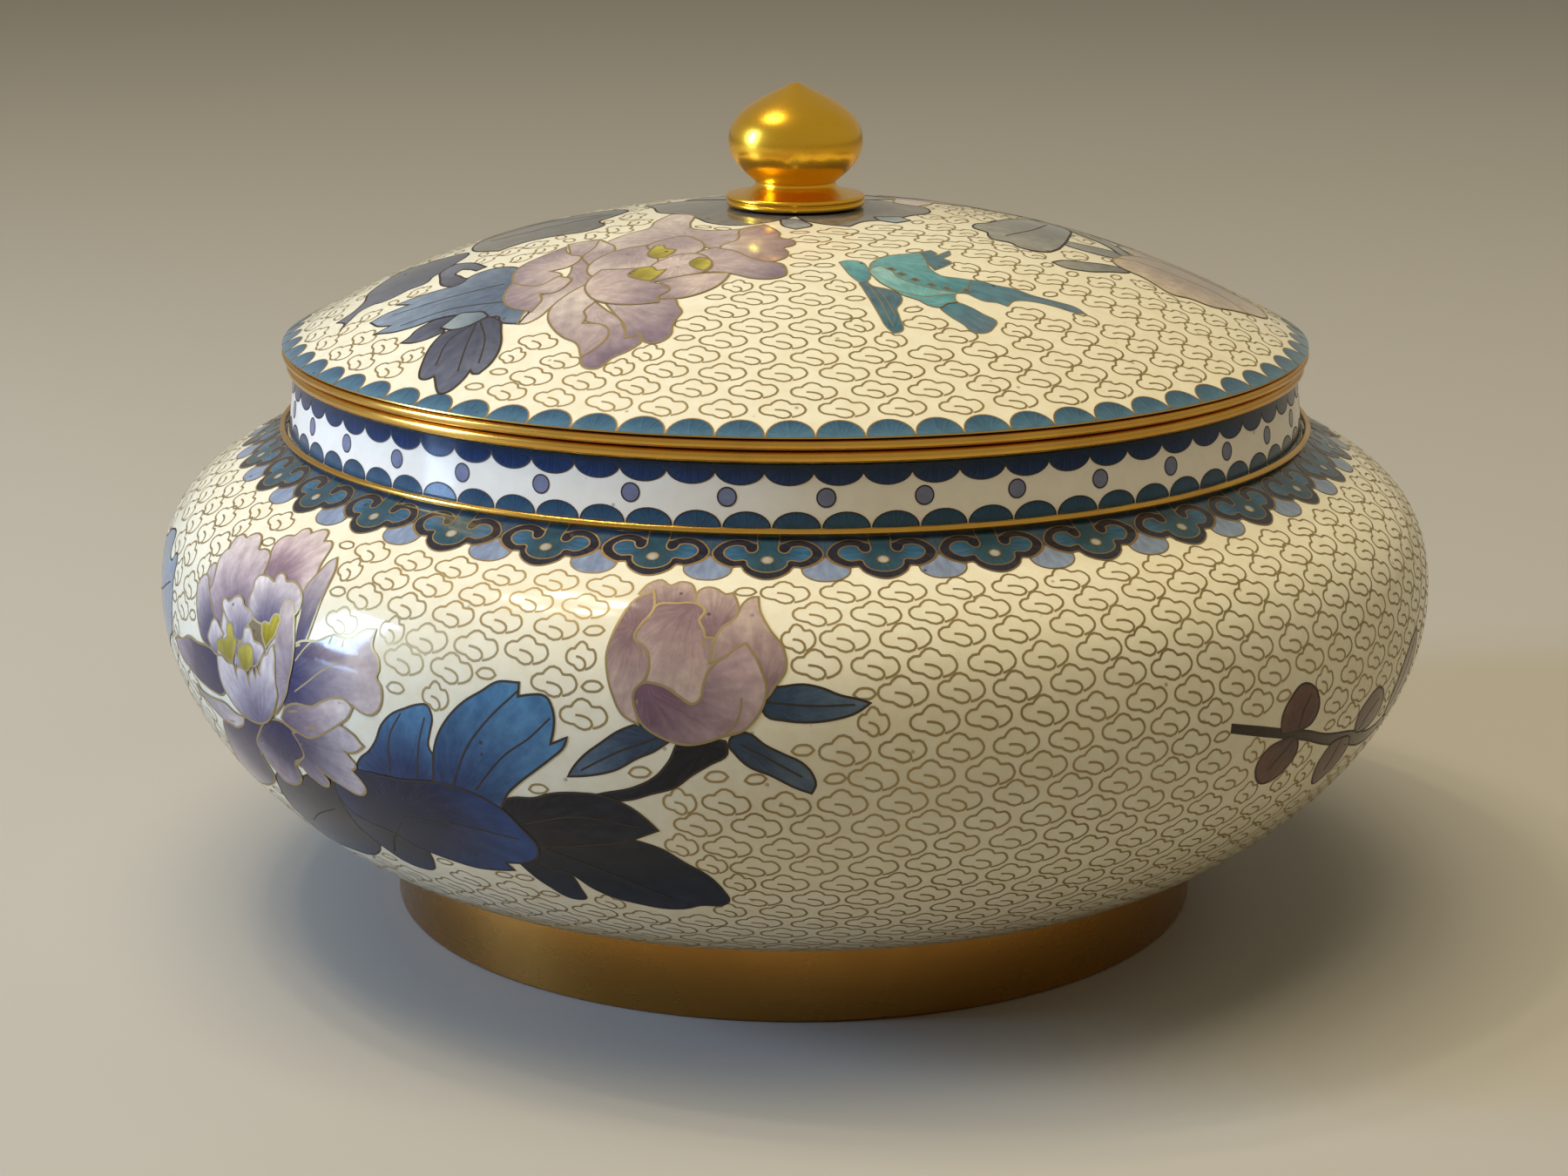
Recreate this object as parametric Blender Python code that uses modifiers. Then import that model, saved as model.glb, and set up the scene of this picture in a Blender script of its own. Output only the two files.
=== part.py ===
"""A round enamelled copper pot with a lift-off lid, brass rings and a gilt knob.

The pot stands on the floor at z = 0 with its axis on Z. Every piece is turned about that axis:
an outline in the XZ plane, at +X, is swept by a Screw modifier. The bowl is a thin shell, made
from its outer outline with a Solidify modifier. The lid lifts straight off.
"""

import math

import bpy
from mathutils import Vector

MM = 0.001

# Gap between two pieces that touch on the real pot.
GAP = 0.3 * MM

# Bowl: a squat belly on a flat base, with a short upright neck.
WALL = 2.2 * MM
BELLY_RADIUS = 125.0 * MM
BELLY_DROP = 49.0 * MM
SHOULDER_RISE = 30.7 * MM
BASE_MARGIN = 6.2 * MM
NECK_RADIUS = 98.1 * MM
NECK_SPREAD = 1.3 * MM
NECK_HEIGHT = 11.5 * MM
SHOULDER_SLOPE = math.radians(31.0)

# Fullness of the belly curves, as shares of the heights and widths that they cross.
BELLY_FULLNESS_BELOW = 0.55
BASE_FULLNESS = 0.17
BELLY_FULLNESS_ABOVE = 0.68
SHOULDER_FULLNESS = 0.58

# Foot ring: a plain brass band under the base.
FOOT_HEIGHT = 16.0 * MM
FOOT_RADIUS = 80.1 * MM
FOOT_FLARE = 0.5 * MM
FOOT_WALL = 3.0 * MM
FOOT_EDGE = 0.6 * MM

# Brass wire that covers the corner between shoulder and neck.
WIRE_RADIUS = 0.65 * MM

# Brass band on the bowl's mouth.
RIM_HEIGHT = 2.2 * MM
RIM_OVERHANG = 1.2 * MM
RING_EDGE = 0.5 * MM

# Brass band on the lid's edge, with a lip that drops inside the mouth and centres the lid.
LID_RING_HEIGHT = 1.8 * MM
LID_RING_OVERHANG = 0.7 * MM
LIP_DEPTH = 4.0 * MM
LIP_WALL = 1.5 * MM
LIP_CLEARANCE = 0.6 * MM

# Lid: a low dome with a small flat crown for the knob.
LID_SIDE = 0.4 * MM
LID_SEAT = 5.0 * MM
LID_RISE = 24.9 * MM
DOME_POWER = 2.28
CROWN_MARGIN = 0.5 * MM

# Knob: a pointed bulb on a waist, spreading into a round plate, all turned in one piece.
PLATE_RADIUS = 13.5 * MM
PLATE_HEIGHT = 2.2 * MM
PLATE_EDGE = 0.7 * MM
WAIST_RADIUS = 7.7 * MM
FLARE_HEIGHT = 2.3 * MM
BULB_RADIUS = 13.05 * MM
BULB_UNDERSIDE = 7.8 * MM
BULB_CROWN = 11.0 * MM
TIP_RADIUS = 0.6 * MM

# Fullness of the knob's curves: how far each end's pull goes outwards and along the height.
TIP_PULL = (0.40, 0.18)
BULB_CROWN_PULL = 0.51
BULB_UNDERSIDE_PULL = 0.50
WAIST_PULL = (0.34, 0.20)
FLARE_PULL = 0.45
PLATE_PULL = (0.40, 0.15)

# Fineness of the turned faces and of the outlines.
SEGMENTS = 48
KNOB_SEGMENTS = 32
SHOULDER_STEPS = 6
BELLY_STEPS = 9
DOME_STEPS = 9
WIRE_SIDES = 6
BULB_CROWN_STEPS = 6
BULB_UNDERSIDE_STEPS = 5
FLARE_STEPS = 4
SCREW_MERGE = 0.01 * MM
SHARP_ANGLE = math.radians(38.0)

# Levels, from the floor up.
BASE_Z = FOOT_HEIGHT + GAP
BELLY_Z = BASE_Z + BELLY_DROP
SHOULDER_Z = BELLY_Z + SHOULDER_RISE
MOUTH_Z = SHOULDER_Z + NECK_HEIGHT
RIM_Z = MOUTH_Z + GAP
RIM_TOP_Z = RIM_Z + RIM_HEIGHT
LID_RING_Z = RIM_TOP_Z + GAP
LID_RING_TOP_Z = LID_RING_Z + LID_RING_HEIGHT
LID_Z = LID_RING_TOP_Z + GAP
DOME_Z = LID_Z + LID_SIDE

# Radii that follow from the neck and the foot.
BASE_RADIUS = FOOT_RADIUS + BASE_MARGIN
NECK_FOOT_RADIUS = NECK_RADIUS + NECK_SPREAD
MOUTH_RADIUS = NECK_RADIUS - WALL
RIM_RADIUS = NECK_RADIUS + RIM_OVERHANG
LID_RADIUS = RIM_RADIUS + LID_RING_OVERHANG
LIP_RADIUS = MOUTH_RADIUS - LIP_CLEARANCE
SEAT_RADIUS = LID_RADIUS - LID_SEAT
CROWN_RADIUS = PLATE_RADIUS + CROWN_MARGIN


def clear_scene():
    """Remove whatever objects the opened file holds."""
    for obj in list(bpy.data.objects):
        bpy.data.objects.remove(obj, do_unlink=True)


def make_material(name, color, roughness, metallic):
    """A plain Principled material in the part's own colour."""
    material = bpy.data.materials.new(name)
    material.use_nodes = True
    shader = material.node_tree.nodes["Principled BSDF"]
    shader.inputs["Base Color"].default_value = (*color, 1.0)
    shader.inputs["Roughness"].default_value = roughness
    shader.inputs["Metallic"].default_value = metallic
    material.diffuse_color = (*color, 1.0)
    return material


def bezier(start, start_pull, end_pull, end, steps):
    """Points along a cubic curve, with both ends."""
    a, b, c, d = (Vector(point) for point in (start, start_pull, end_pull, end))
    points = []
    for step in range(steps + 1):
        t = step / steps
        s = 1.0 - t
        points.append(tuple(a * s**3 + b * 3 * s * s * t + c * 3 * s * t * t + d * t**3))
    return points


def chamfered(corners, size):
    """A closed outline whose corners are cut back by size along both of their sides."""
    points = []
    for index, corner in enumerate(corners):
        here = Vector(corner)
        before = Vector(corners[index - 1])
        after = Vector(corners[(index + 1) % len(corners)])
        points.append(tuple(here + (before - here).normalized() * size))
        points.append(tuple(here + (after - here).normalized() * size))
    return points


def turn(name, outline, material, collection, closed=False, wall=0.0, segments=SEGMENTS):
    """Sweep an outline of (radius, height) points about Z, and thicken it inwards by wall."""
    count = len(outline)
    edges = [(index, index + 1) for index in range(count - 1)]
    if closed:
        edges.append((count - 1, 0))
    profile = bpy.data.meshes.new(name + "_profile")
    profile.from_pydata([(radius, 0.0, height) for radius, height in outline], edges, [])
    obj = bpy.data.objects.new(name, profile)
    collection.objects.link(obj)

    screw = obj.modifiers.new("Turned", "SCREW")
    screw.axis = "Z"
    screw.angle = math.tau
    screw.steps = segments
    screw.render_steps = segments
    screw.use_merge_vertices = True
    screw.merge_threshold = SCREW_MERGE
    if wall:
        shell = obj.modifiers.new("Wall", "SOLIDIFY")
        shell.thickness = wall
        shell.offset = -1.0
        shell.use_even_offset = True

    bpy.context.view_layer.update()
    evaluated = obj.evaluated_get(bpy.context.evaluated_depsgraph_get())
    mesh = bpy.data.meshes.new_from_object(evaluated)
    mesh.name = name
    mesh.shade_smooth()
    mesh.set_sharp_from_angle(angle=SHARP_ANGLE)
    mesh.materials.append(material)
    obj.modifiers.clear()
    obj.data = mesh
    bpy.data.meshes.remove(profile)
    return obj


def bowl_outline():
    """The bowl's outer side: neck, shoulder, belly and flat base, from the mouth down."""
    slope = Vector((math.cos(SHOULDER_SLOPE), -math.sin(SHOULDER_SLOPE)))
    neck_foot = Vector((NECK_FOOT_RADIUS, SHOULDER_Z))
    shoulder_pull = neck_foot + slope * (SHOULDER_FULLNESS * (BELLY_RADIUS - NECK_FOOT_RADIUS))
    belly = (BELLY_RADIUS, BELLY_Z)
    shoulder = bezier(
        neck_foot,
        shoulder_pull,
        (BELLY_RADIUS, BELLY_Z + BELLY_FULLNESS_ABOVE * SHOULDER_RISE),
        belly,
        SHOULDER_STEPS,
    )
    underside = bezier(
        belly,
        (BELLY_RADIUS, BELLY_Z - BELLY_FULLNESS_BELOW * BELLY_DROP),
        (BASE_RADIUS + BASE_FULLNESS * (BELLY_RADIUS - BASE_RADIUS), BASE_Z),
        (BASE_RADIUS, BASE_Z),
        BELLY_STEPS,
    )
    return [(NECK_RADIUS, MOUTH_Z)] + shoulder + underside[1:] + [(0.0, BASE_Z)]


def foot_outline():
    """The foot ring's section, a band a little wider at its top."""
    corners = [
        (FOOT_RADIUS + FOOT_FLARE, FOOT_HEIGHT),
        (FOOT_RADIUS, 0.0),
        (FOOT_RADIUS - FOOT_WALL, 0.0),
        (FOOT_RADIUS - FOOT_WALL, FOOT_HEIGHT),
    ]
    return chamfered(corners, FOOT_EDGE)


def wire_outline():
    """The round section of the wire, lying in the corner a gap off both neck and shoulder."""
    reach = WIRE_RADIUS + GAP
    centre_radius = NECK_FOOT_RADIUS + reach
    drop = reach * math.sin(SHOULDER_SLOPE)
    centre_z = SHOULDER_Z + (reach - drop) / math.cos(SHOULDER_SLOPE)
    points = []
    for side in range(WIRE_SIDES):
        angle = -math.tau * side / WIRE_SIDES
        radius = centre_radius + WIRE_RADIUS * math.cos(angle)
        points.append((radius, centre_z + WIRE_RADIUS * math.sin(angle)))
    return points


def rim_outline():
    """The section of the flat band on the bowl's mouth."""
    corners = [
        (RIM_RADIUS, RIM_TOP_Z),
        (RIM_RADIUS, RIM_Z),
        (MOUTH_RADIUS, RIM_Z),
        (MOUTH_RADIUS, RIM_TOP_Z),
    ]
    return chamfered(corners, RING_EDGE)


def lid_ring_outline():
    """The section of the lid's band, with the lip that drops inside the mouth."""
    lip_bottom_z = LID_RING_Z - LIP_DEPTH
    inner_radius = LIP_RADIUS - LIP_WALL
    return [
        (LID_RADIUS - RING_EDGE, LID_RING_TOP_Z),
        (LID_RADIUS, LID_RING_TOP_Z - RING_EDGE),
        (LID_RADIUS, LID_RING_Z + RING_EDGE),
        (LID_RADIUS - RING_EDGE, LID_RING_Z),
        (LIP_RADIUS, LID_RING_Z),
        (LIP_RADIUS, lip_bottom_z),
        (inner_radius, lip_bottom_z),
        (inner_radius, LID_RING_TOP_Z),
    ]


def dome_z(radius):
    """Height of the lid's outer side at a distance from the axis."""
    return DOME_Z + LID_RISE * (1.0 - (radius / LID_RADIUS) ** DOME_POWER)


def inner_dome_z(radius):
    """Height of the lid's inner side, one wall below the outer side, square to its slope."""
    slope = LID_RISE * DOME_POWER * (radius / LID_RADIUS) ** (DOME_POWER - 1.0) / LID_RADIUS
    return dome_z(radius) - WALL * math.hypot(1.0, slope)


def lid_outline():
    """The lid's whole section, from the crown down its outer side and back up inside."""
    turns = [0.5 * math.pi * step / DOME_STEPS for step in range(DOME_STEPS + 1)]
    shares = [math.sin(turn) for turn in turns]
    outside = [(0.0, dome_z(CROWN_RADIUS))]
    for share in shares:
        radius = CROWN_RADIUS + (LID_RADIUS - CROWN_RADIUS) * share
        outside.append((radius, dome_z(radius)))
    outside.append((LID_RADIUS, LID_Z))

    inside = []
    for share in shares:
        radius = CROWN_RADIUS + (SEAT_RADIUS - CROWN_RADIUS) * share
        inside.append((radius, inner_dome_z(radius)))
    inside.append((SEAT_RADIUS, LID_Z))
    return outside + inside[::-1] + [(0.0, inner_dome_z(CROWN_RADIUS))]


def finial_outline():
    """The knob's outer side, from its tip down to the middle of its plate."""
    base_z = dome_z(CROWN_RADIUS) + GAP
    plate_top_z = base_z + PLATE_HEIGHT
    waist_z = plate_top_z + FLARE_HEIGHT
    bulb_z = waist_z + BULB_UNDERSIDE
    tip_z = bulb_z + BULB_CROWN
    crown_reach = BULB_RADIUS - TIP_RADIUS
    bulb_reach = BULB_RADIUS - WAIST_RADIUS
    flare_reach = PLATE_RADIUS - PLATE_EDGE - WAIST_RADIUS
    crown = bezier(
        (TIP_RADIUS, tip_z),
        (TIP_RADIUS + TIP_PULL[0] * crown_reach, tip_z - TIP_PULL[1] * BULB_CROWN),
        (BULB_RADIUS, bulb_z + BULB_CROWN_PULL * BULB_CROWN),
        (BULB_RADIUS, bulb_z),
        BULB_CROWN_STEPS,
    )
    underside = bezier(
        (BULB_RADIUS, bulb_z),
        (BULB_RADIUS, bulb_z - BULB_UNDERSIDE_PULL * BULB_UNDERSIDE),
        (WAIST_RADIUS + WAIST_PULL[0] * bulb_reach, waist_z + WAIST_PULL[1] * BULB_UNDERSIDE),
        (WAIST_RADIUS, waist_z),
        BULB_UNDERSIDE_STEPS,
    )
    flare = bezier(
        (WAIST_RADIUS, waist_z),
        (WAIST_RADIUS, waist_z - FLARE_PULL * FLARE_HEIGHT),
        (WAIST_RADIUS + PLATE_PULL[0] * flare_reach, plate_top_z + PLATE_PULL[1] * FLARE_HEIGHT),
        (PLATE_RADIUS - PLATE_EDGE, plate_top_z),
        FLARE_STEPS,
    )
    plate = [
        (PLATE_RADIUS, plate_top_z - PLATE_EDGE),
        (PLATE_RADIUS, base_z + PLATE_EDGE),
        (PLATE_RADIUS - PLATE_EDGE, base_z),
        (0.0, base_z),
    ]
    return [(0.0, tip_z + 0.5 * TIP_RADIUS)] + crown + underside[1:] + flare[1:] + plate


def build():
    clear_scene()
    pot = bpy.data.collections.new("enamel_pot")
    bpy.context.scene.collection.children.link(pot)

    bowl_enamel = make_material("bowl_enamel", (0.78, 0.74, 0.62), 0.22, 0.0)
    lid_enamel = make_material("lid_enamel", (0.80, 0.75, 0.60), 0.22, 0.0)
    foot_brass = make_material("foot_brass", (0.62, 0.42, 0.14), 0.34, 1.0)
    wire_brass = make_material("wire_brass", (0.66, 0.46, 0.16), 0.30, 1.0)
    rim_brass = make_material("rim_brass", (0.70, 0.50, 0.18), 0.26, 1.0)
    lid_brass = make_material("lid_brass", (0.70, 0.50, 0.18), 0.26, 1.0)
    knob_gilt = make_material("knob_gilt", (0.86, 0.58, 0.12), 0.20, 1.0)

    turn("bowl", bowl_outline(), bowl_enamel, pot, wall=WALL)
    turn("foot_ring", foot_outline(), foot_brass, pot, closed=True)
    turn("neck_wire", wire_outline(), wire_brass, pot, closed=True)
    turn("rim_ring", rim_outline(), rim_brass, pot, closed=True)
    turn("lid_ring", lid_ring_outline(), lid_brass, pot, closed=True)
    turn("lid", lid_outline(), lid_enamel, pot)
    turn("finial", finial_outline(), knob_gilt, pot, segments=KNOB_SEGMENTS)


build()
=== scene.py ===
# %% [markdown]
# # A lidded enamel pot
# The real pot is copper sheet with opaque enamel melted onto it. Thin brass wires are bent to the
# lines of the drawing, soldered down, filled with coloured glass, fired and ground smooth. This
# lesson turns the bowl, the lid, the brass bands and the knob, and then draws every cell and every
# wire flat, in millimetres, and wraps the drawing onto the curved wall, as a maker would with a
# paper pattern. That keeps each line easy to read and to change.

import math
import random
from bisect import bisect_right

import bmesh
import bpy
from mathutils import Matrix, Vector
from mathutils.geometry import interpolate_bezier


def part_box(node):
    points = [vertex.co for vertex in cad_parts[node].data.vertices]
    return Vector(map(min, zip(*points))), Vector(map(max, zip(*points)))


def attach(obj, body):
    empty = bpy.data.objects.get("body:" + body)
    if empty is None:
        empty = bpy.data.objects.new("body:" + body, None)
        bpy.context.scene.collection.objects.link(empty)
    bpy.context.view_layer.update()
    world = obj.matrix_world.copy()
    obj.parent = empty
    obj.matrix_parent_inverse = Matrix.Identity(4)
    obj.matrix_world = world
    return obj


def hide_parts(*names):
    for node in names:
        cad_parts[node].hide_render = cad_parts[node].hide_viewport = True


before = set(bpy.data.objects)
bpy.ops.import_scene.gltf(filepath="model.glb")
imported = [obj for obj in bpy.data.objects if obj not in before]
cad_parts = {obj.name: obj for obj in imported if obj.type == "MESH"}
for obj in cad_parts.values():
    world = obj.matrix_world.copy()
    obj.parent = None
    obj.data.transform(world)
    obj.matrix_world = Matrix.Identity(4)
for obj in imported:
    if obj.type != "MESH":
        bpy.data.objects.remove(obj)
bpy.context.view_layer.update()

# %% [markdown]
# ## Sizes
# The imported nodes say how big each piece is, so the levels and radii are read from their boxes.
# Only what a box can't say, such as how full a curve is, has a value of its own here. Everything
# is drawn in millimetres, because the cells are a few millimetres wide, and turned into metres
# when a point is placed.

# %% Levels and radii from the frame, in millimetres
MM = 0.001


def radius_of(node):
    """The outer radius of a node, in millimetres."""
    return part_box(node)[1].x / MM


def bottom_of(node):
    """The lowest level of a node, in millimetres."""
    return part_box(node)[0].z / MM


def top_of(node):
    """The highest level of a node, in millimetres."""
    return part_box(node)[1].z / MM


BELLY_RADIUS = radius_of("bowl")
LID_RADIUS = radius_of("lid")
PLATE_RADIUS = radius_of("finial")
BASE_Z = bottom_of("bowl")
MOUTH_Z = top_of("bowl")
LID_Z = bottom_of("lid")
KNOB_Z = bottom_of("finial")
print("belly", round(BELLY_RADIUS, 2), "lid", round(LID_RADIUS, 2), "mouth level", round(MOUTH_Z, 2))

# %% Sizes that the boxes don't give, in millimetres
WALL = 2.2
BELLY_DROP = 49.0
SHOULDER_RISE = 30.7
BASE_MARGIN = 6.2
NECK_RADIUS = 98.1
NECK_SPREAD = 1.3
SHOULDER_SLOPE = math.radians(31.0)
BELLY_FULLNESS_BELOW = 0.55
BASE_FULLNESS = 0.17
BELLY_FULLNESS_ABOVE = 0.68
SHOULDER_FULLNESS = 0.58
LID_SIDE = 0.4
LID_SEAT = 5.0
LID_RISE = 24.9
DOME_POWER = 2.28
CROWN_RADIUS = PLATE_RADIUS + 0.5
FOOT_RADIUS = 80.1
FOOT_WALL = 3.0

BELLY_Z = BASE_Z + BELLY_DROP
SHOULDER_Z = BELLY_Z + SHOULDER_RISE
BASE_RADIUS = FOOT_RADIUS + BASE_MARGIN
NECK_FOOT_RADIUS = NECK_RADIUS + NECK_SPREAD
DOME_Z = LID_Z + LID_SIDE

# The fired ground lies this far inside the CAD surface, which leaves room for cells and wires.
INSET = 0.2
print("belly widest at level", round(BELLY_Z, 2), "and shoulder at level", round(SHOULDER_Z, 2))

# %% [markdown]
# ## The outlines
# A turned wall is fully described by the line of its section. The bowl's belly is two cubic curves
# that meet upright at the widest point. A section object keeps points at even steps along that
# line, so a pattern can later ask for the place at any length along the wall, which is what makes
# the clouds keep their size from the shoulder down to the foot.


# %% A section that can be asked for the place at any length along it
class Section:
    """A turned outline, from its top down, that gives radius, height and outward normal."""

    STEP = 0.25

    def __init__(self, outline):
        self.places = [Vector(outline[0])]
        for start, end in zip(outline, outline[1:]):
            start = Vector(start)
            end = Vector(end)
            count = max(1, round((end - start).length / self.STEP))
            for step in range(1, count + 1):
                self.places.append(start.lerp(end, step / count))
        self.lengths = [0.0]
        for start, end in zip(self.places, self.places[1:]):
            self.lengths.append(self.lengths[-1] + (end - start).length)
        self.total = self.lengths[-1]

    def at(self, length):
        """Radius and height at a length, and the normal that points away from the wall."""
        index = min(max(bisect_right(self.lengths, length) - 1, 0), len(self.places) - 2)
        start = self.places[index]
        end = self.places[index + 1]
        along = (end - start).normalized()
        share = (length - self.lengths[index]) / (end - start).length
        return start.lerp(end, share), Vector((-along.y, along.x))

    def radius(self, length):
        """The distance from the axis at a length."""
        return self.at(length)[0].x


def cubic(start, start_pull, end_pull, end, steps):
    """Points along a cubic curve, with both ends, as (radius, height)."""
    corners = [Vector(point) for point in (start, start_pull, end_pull, end)]
    return [(point.x, point.y) for point in interpolate_bezier(*corners, steps + 1)]


print("a section keeps a point every", Section.STEP, "mm")


# %% The bowl's outer line, from the neck's foot down to the edge of the base
def belly_line(steps_above=48, steps_below=72):
    """The shoulder's curve and the underside's, which meet upright at the widest point."""
    slope = Vector((math.cos(SHOULDER_SLOPE), -math.sin(SHOULDER_SLOPE)))
    neck_foot = Vector((NECK_FOOT_RADIUS, SHOULDER_Z))
    shoulder_pull = neck_foot + slope * (SHOULDER_FULLNESS * (BELLY_RADIUS - NECK_FOOT_RADIUS))
    shoulder = cubic(
        neck_foot,
        shoulder_pull,
        (BELLY_RADIUS, BELLY_Z + BELLY_FULLNESS_ABOVE * SHOULDER_RISE),
        (BELLY_RADIUS, BELLY_Z),
        steps_above,
    )
    underside = cubic(
        (BELLY_RADIUS, BELLY_Z),
        (BELLY_RADIUS, BELLY_Z - BELLY_FULLNESS_BELOW * BELLY_DROP),
        (BASE_RADIUS + BASE_FULLNESS * (BELLY_RADIUS - BASE_RADIUS), BASE_Z),
        (BASE_RADIUS, BASE_Z),
        steps_below,
    )
    return shoulder + underside[1:]


def offset_line(line, distance):
    """A line moved sideways by a distance, to the right of its run."""
    moved = []
    for index, point in enumerate(line):
        before = Vector(line[max(index - 1, 0)])
        after = Vector(line[min(index + 1, len(line) - 1)])
        along = (after - before).normalized()
        moved.append((point[0] + along.y * distance, point[1] - along.x * distance))
    return moved


BELLY = Section(belly_line(steps_above=400, steps_below=600))
NECK = Section([(NECK_RADIUS, MOUTH_Z), (NECK_FOOT_RADIUS, SHOULDER_Z)])
print("length down the belly", round(BELLY.total, 1), "mm")


# %% The lid's outer line
def dome_z(radius):
    """Height of the lid's outer side at a distance from the axis."""
    return DOME_Z + LID_RISE * (1.0 - (radius / LID_RADIUS) ** DOME_POWER)


def dome_line(steps):
    """The dome from the edge of the crown to the rim, with closer steps where it bends more."""
    turns = [0.5 * math.pi * step / steps for step in range(steps + 1)]
    radii = [CROWN_RADIUS + (LID_RADIUS - CROWN_RADIUS) * math.sin(turn) for turn in turns]
    return [(radius, dome_z(radius)) for radius in radii]


DOME = Section(dome_line(400))
print("length down the lid", round(DOME.total, 1), "mm")

# %% [markdown]
# ## Enamel
# Fired enamel is glass: a hard gloss, a faint ripple, colour that clouds a little from one spot to
# the next, and pinholes where gas came up in the kiln. All enamels on the pot share this, so it is
# one node group that takes a colour and gives it back clouded and pitted, with the roughness and
# height that go with it. Each material then places the group with its own values.


# %% Colours as a painter's chart gives them
def paint(red, green, blue):
    """A colour given in 8-bit display values, as the linear light that shaders use."""
    def linear(value):
        value = value / 255.0
        return value / 12.92 if value <= 0.04045 else ((value + 0.055) / 1.055) ** 2.4
    return (linear(red), linear(green), linear(blue), 1.0)


def add_node(tree, kind, **values):
    """A new node in a tree, with some of its settings or inputs given by name."""
    node = tree.nodes.new(kind)
    for key, value in values.items():
        if key in node.inputs:
            node.inputs[key].default_value = value
        else:
            setattr(node, key, value)
    return node


def mix_colour(tree, blend, factor, first, second):
    """A colour Mix node, fed by sockets or fixed values, and its result."""
    node = add_node(tree, "ShaderNodeMix", data_type="RGBA", blend_type=blend)
    for socket, source in ((node.inputs[0], factor), (node.inputs[6], first), (node.inputs[7], second)):
        if isinstance(source, bpy.types.NodeSocket):
            tree.links.new(source, socket)
        else:
            socket.default_value = source
    return node.outputs[2]


def remap(tree, source, low, high, to_low, to_high):
    """A Map Range node on a socket, and its result."""
    node = tree.nodes.new("ShaderNodeMapRange")
    tree.links.new(source, node.inputs[0])
    for index, value in enumerate((low, high, to_low, to_high), start=1):
        node.inputs[index].default_value = value
    return node.outputs[0]


def combine(tree, operation, first, second):
    """A Math node on two sockets or numbers, and its result."""
    node = add_node(tree, "ShaderNodeMath", operation=operation)
    for socket, source in zip(node.inputs, (first, second)):
        if isinstance(source, bpy.types.NodeSocket):
            tree.links.new(source, socket)
        else:
            socket.default_value = source
    return node.outputs[0]


print("middle grey in linear light:", round(paint(128, 128, 128)[0], 3))


# %% The shared enamel group
PIT_PAINT = paint(38, 28, 24)


def new_group(name, inputs, outputs):
    """A shader node group with the named sockets, and its two end nodes."""
    group = bpy.data.node_groups.new(name, "ShaderNodeTree")
    for label, kind, value in inputs:
        socket = group.interface.new_socket(label, in_out="INPUT", socket_type=kind)
        socket.default_value = value
    for label, kind in outputs:
        group.interface.new_socket(label, in_out="OUTPUT", socket_type=kind)
    return group, group.nodes.new("NodeGroupInput"), group.nodes.new("NodeGroupOutput")


def make_enamel_group():
    """The group that clouds, pits and ripples one colour of enamel."""
    group, start, end = new_group(
        "fired_enamel",
        [
            ("Colour", "NodeSocketColor", (0.8, 0.8, 0.8, 1.0)),
            ("Cloud colour", "NodeSocketColor", (0.7, 0.7, 0.7, 1.0)),
            ("Cloud amount", "NodeSocketFloat", 0.3),
            ("Cloud scale", "NodeSocketFloat", 260.0),
            ("Pit amount", "NodeSocketFloat", 0.5),
            ("Gloss", "NodeSocketFloat", 0.1),
        ],
        [
            ("Colour", "NodeSocketColor"),
            ("Roughness", "NodeSocketFloat"),
            ("Height", "NodeSocketFloat"),
        ],
    )
    place = group.nodes.new("ShaderNodeTexCoord").outputs["Object"]
    cloud = add_node(group, "ShaderNodeTexNoise", Detail=5.0, Roughness=0.62)
    group.links.new(place, cloud.inputs["Vector"])
    group.links.new(start.outputs["Cloud scale"], cloud.inputs["Scale"])
    ripple = add_node(group, "ShaderNodeTexNoise", Scale=150.0, Detail=2.0)
    group.links.new(place, ripple.inputs["Vector"])
    grain = add_node(group, "ShaderNodeTexVoronoi", Scale=420.0)
    group.links.new(place, grain.inputs["Vector"])
    chosen = add_node(group, "ShaderNodeSeparateColor")
    group.links.new(grain.outputs["Color"], chosen.inputs[0])

    # A pit is the middle of a grain, and only one grain in about twenty has one.
    rare = remap(group, chosen.outputs[0], 0.94, 0.96, 0.0, 1.0)
    middle = remap(group, grain.outputs["Distance"], 0.10, 0.20, 1.0, 0.0)
    pit = combine(group, "MULTIPLY", rare, middle)
    pit = combine(group, "MULTIPLY", pit, start.outputs["Pit amount"])

    # Clouding and pits change the colour.
    clouding = remap(group, cloud.outputs["Fac"], 0.36, 0.68, 0.0, 1.0)
    clouding = combine(group, "MULTIPLY", clouding, start.outputs["Cloud amount"])
    colour = mix_colour(group, "MIX", clouding, start.outputs["Colour"], start.outputs["Cloud colour"])
    colour = mix_colour(group, "MIX", pit, colour, PIT_PAINT)
    group.links.new(colour, end.inputs["Colour"])

    # Clouded spots are a little duller, and a pit is duller still.
    dull = remap(group, cloud.outputs["Fac"], 0.3, 0.8, -0.02, 0.05)
    rough = combine(group, "ADD", start.outputs["Gloss"], dull)
    rough = combine(group, "ADD", rough, combine(group, "MULTIPLY", pit, 0.5))
    group.links.new(rough, end.inputs["Roughness"])

    # The surface ripples, and sinks at a pit.
    height = combine(group, "MULTIPLY", ripple.outputs["Fac"], 0.6)
    height = combine(group, "SUBTRACT", height, pit)
    group.links.new(height, end.inputs["Height"])
    return group


ENAMEL = make_enamel_group()
print("shared enamel group with", len(ENAMEL.nodes), "nodes")


# %% Enamel materials
GLAZE_IOR = 1.38
RIPPLE_STRENGTH = 0.10
RIPPLE_DEPTH = 0.00025
GLOSS = 0.1


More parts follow.
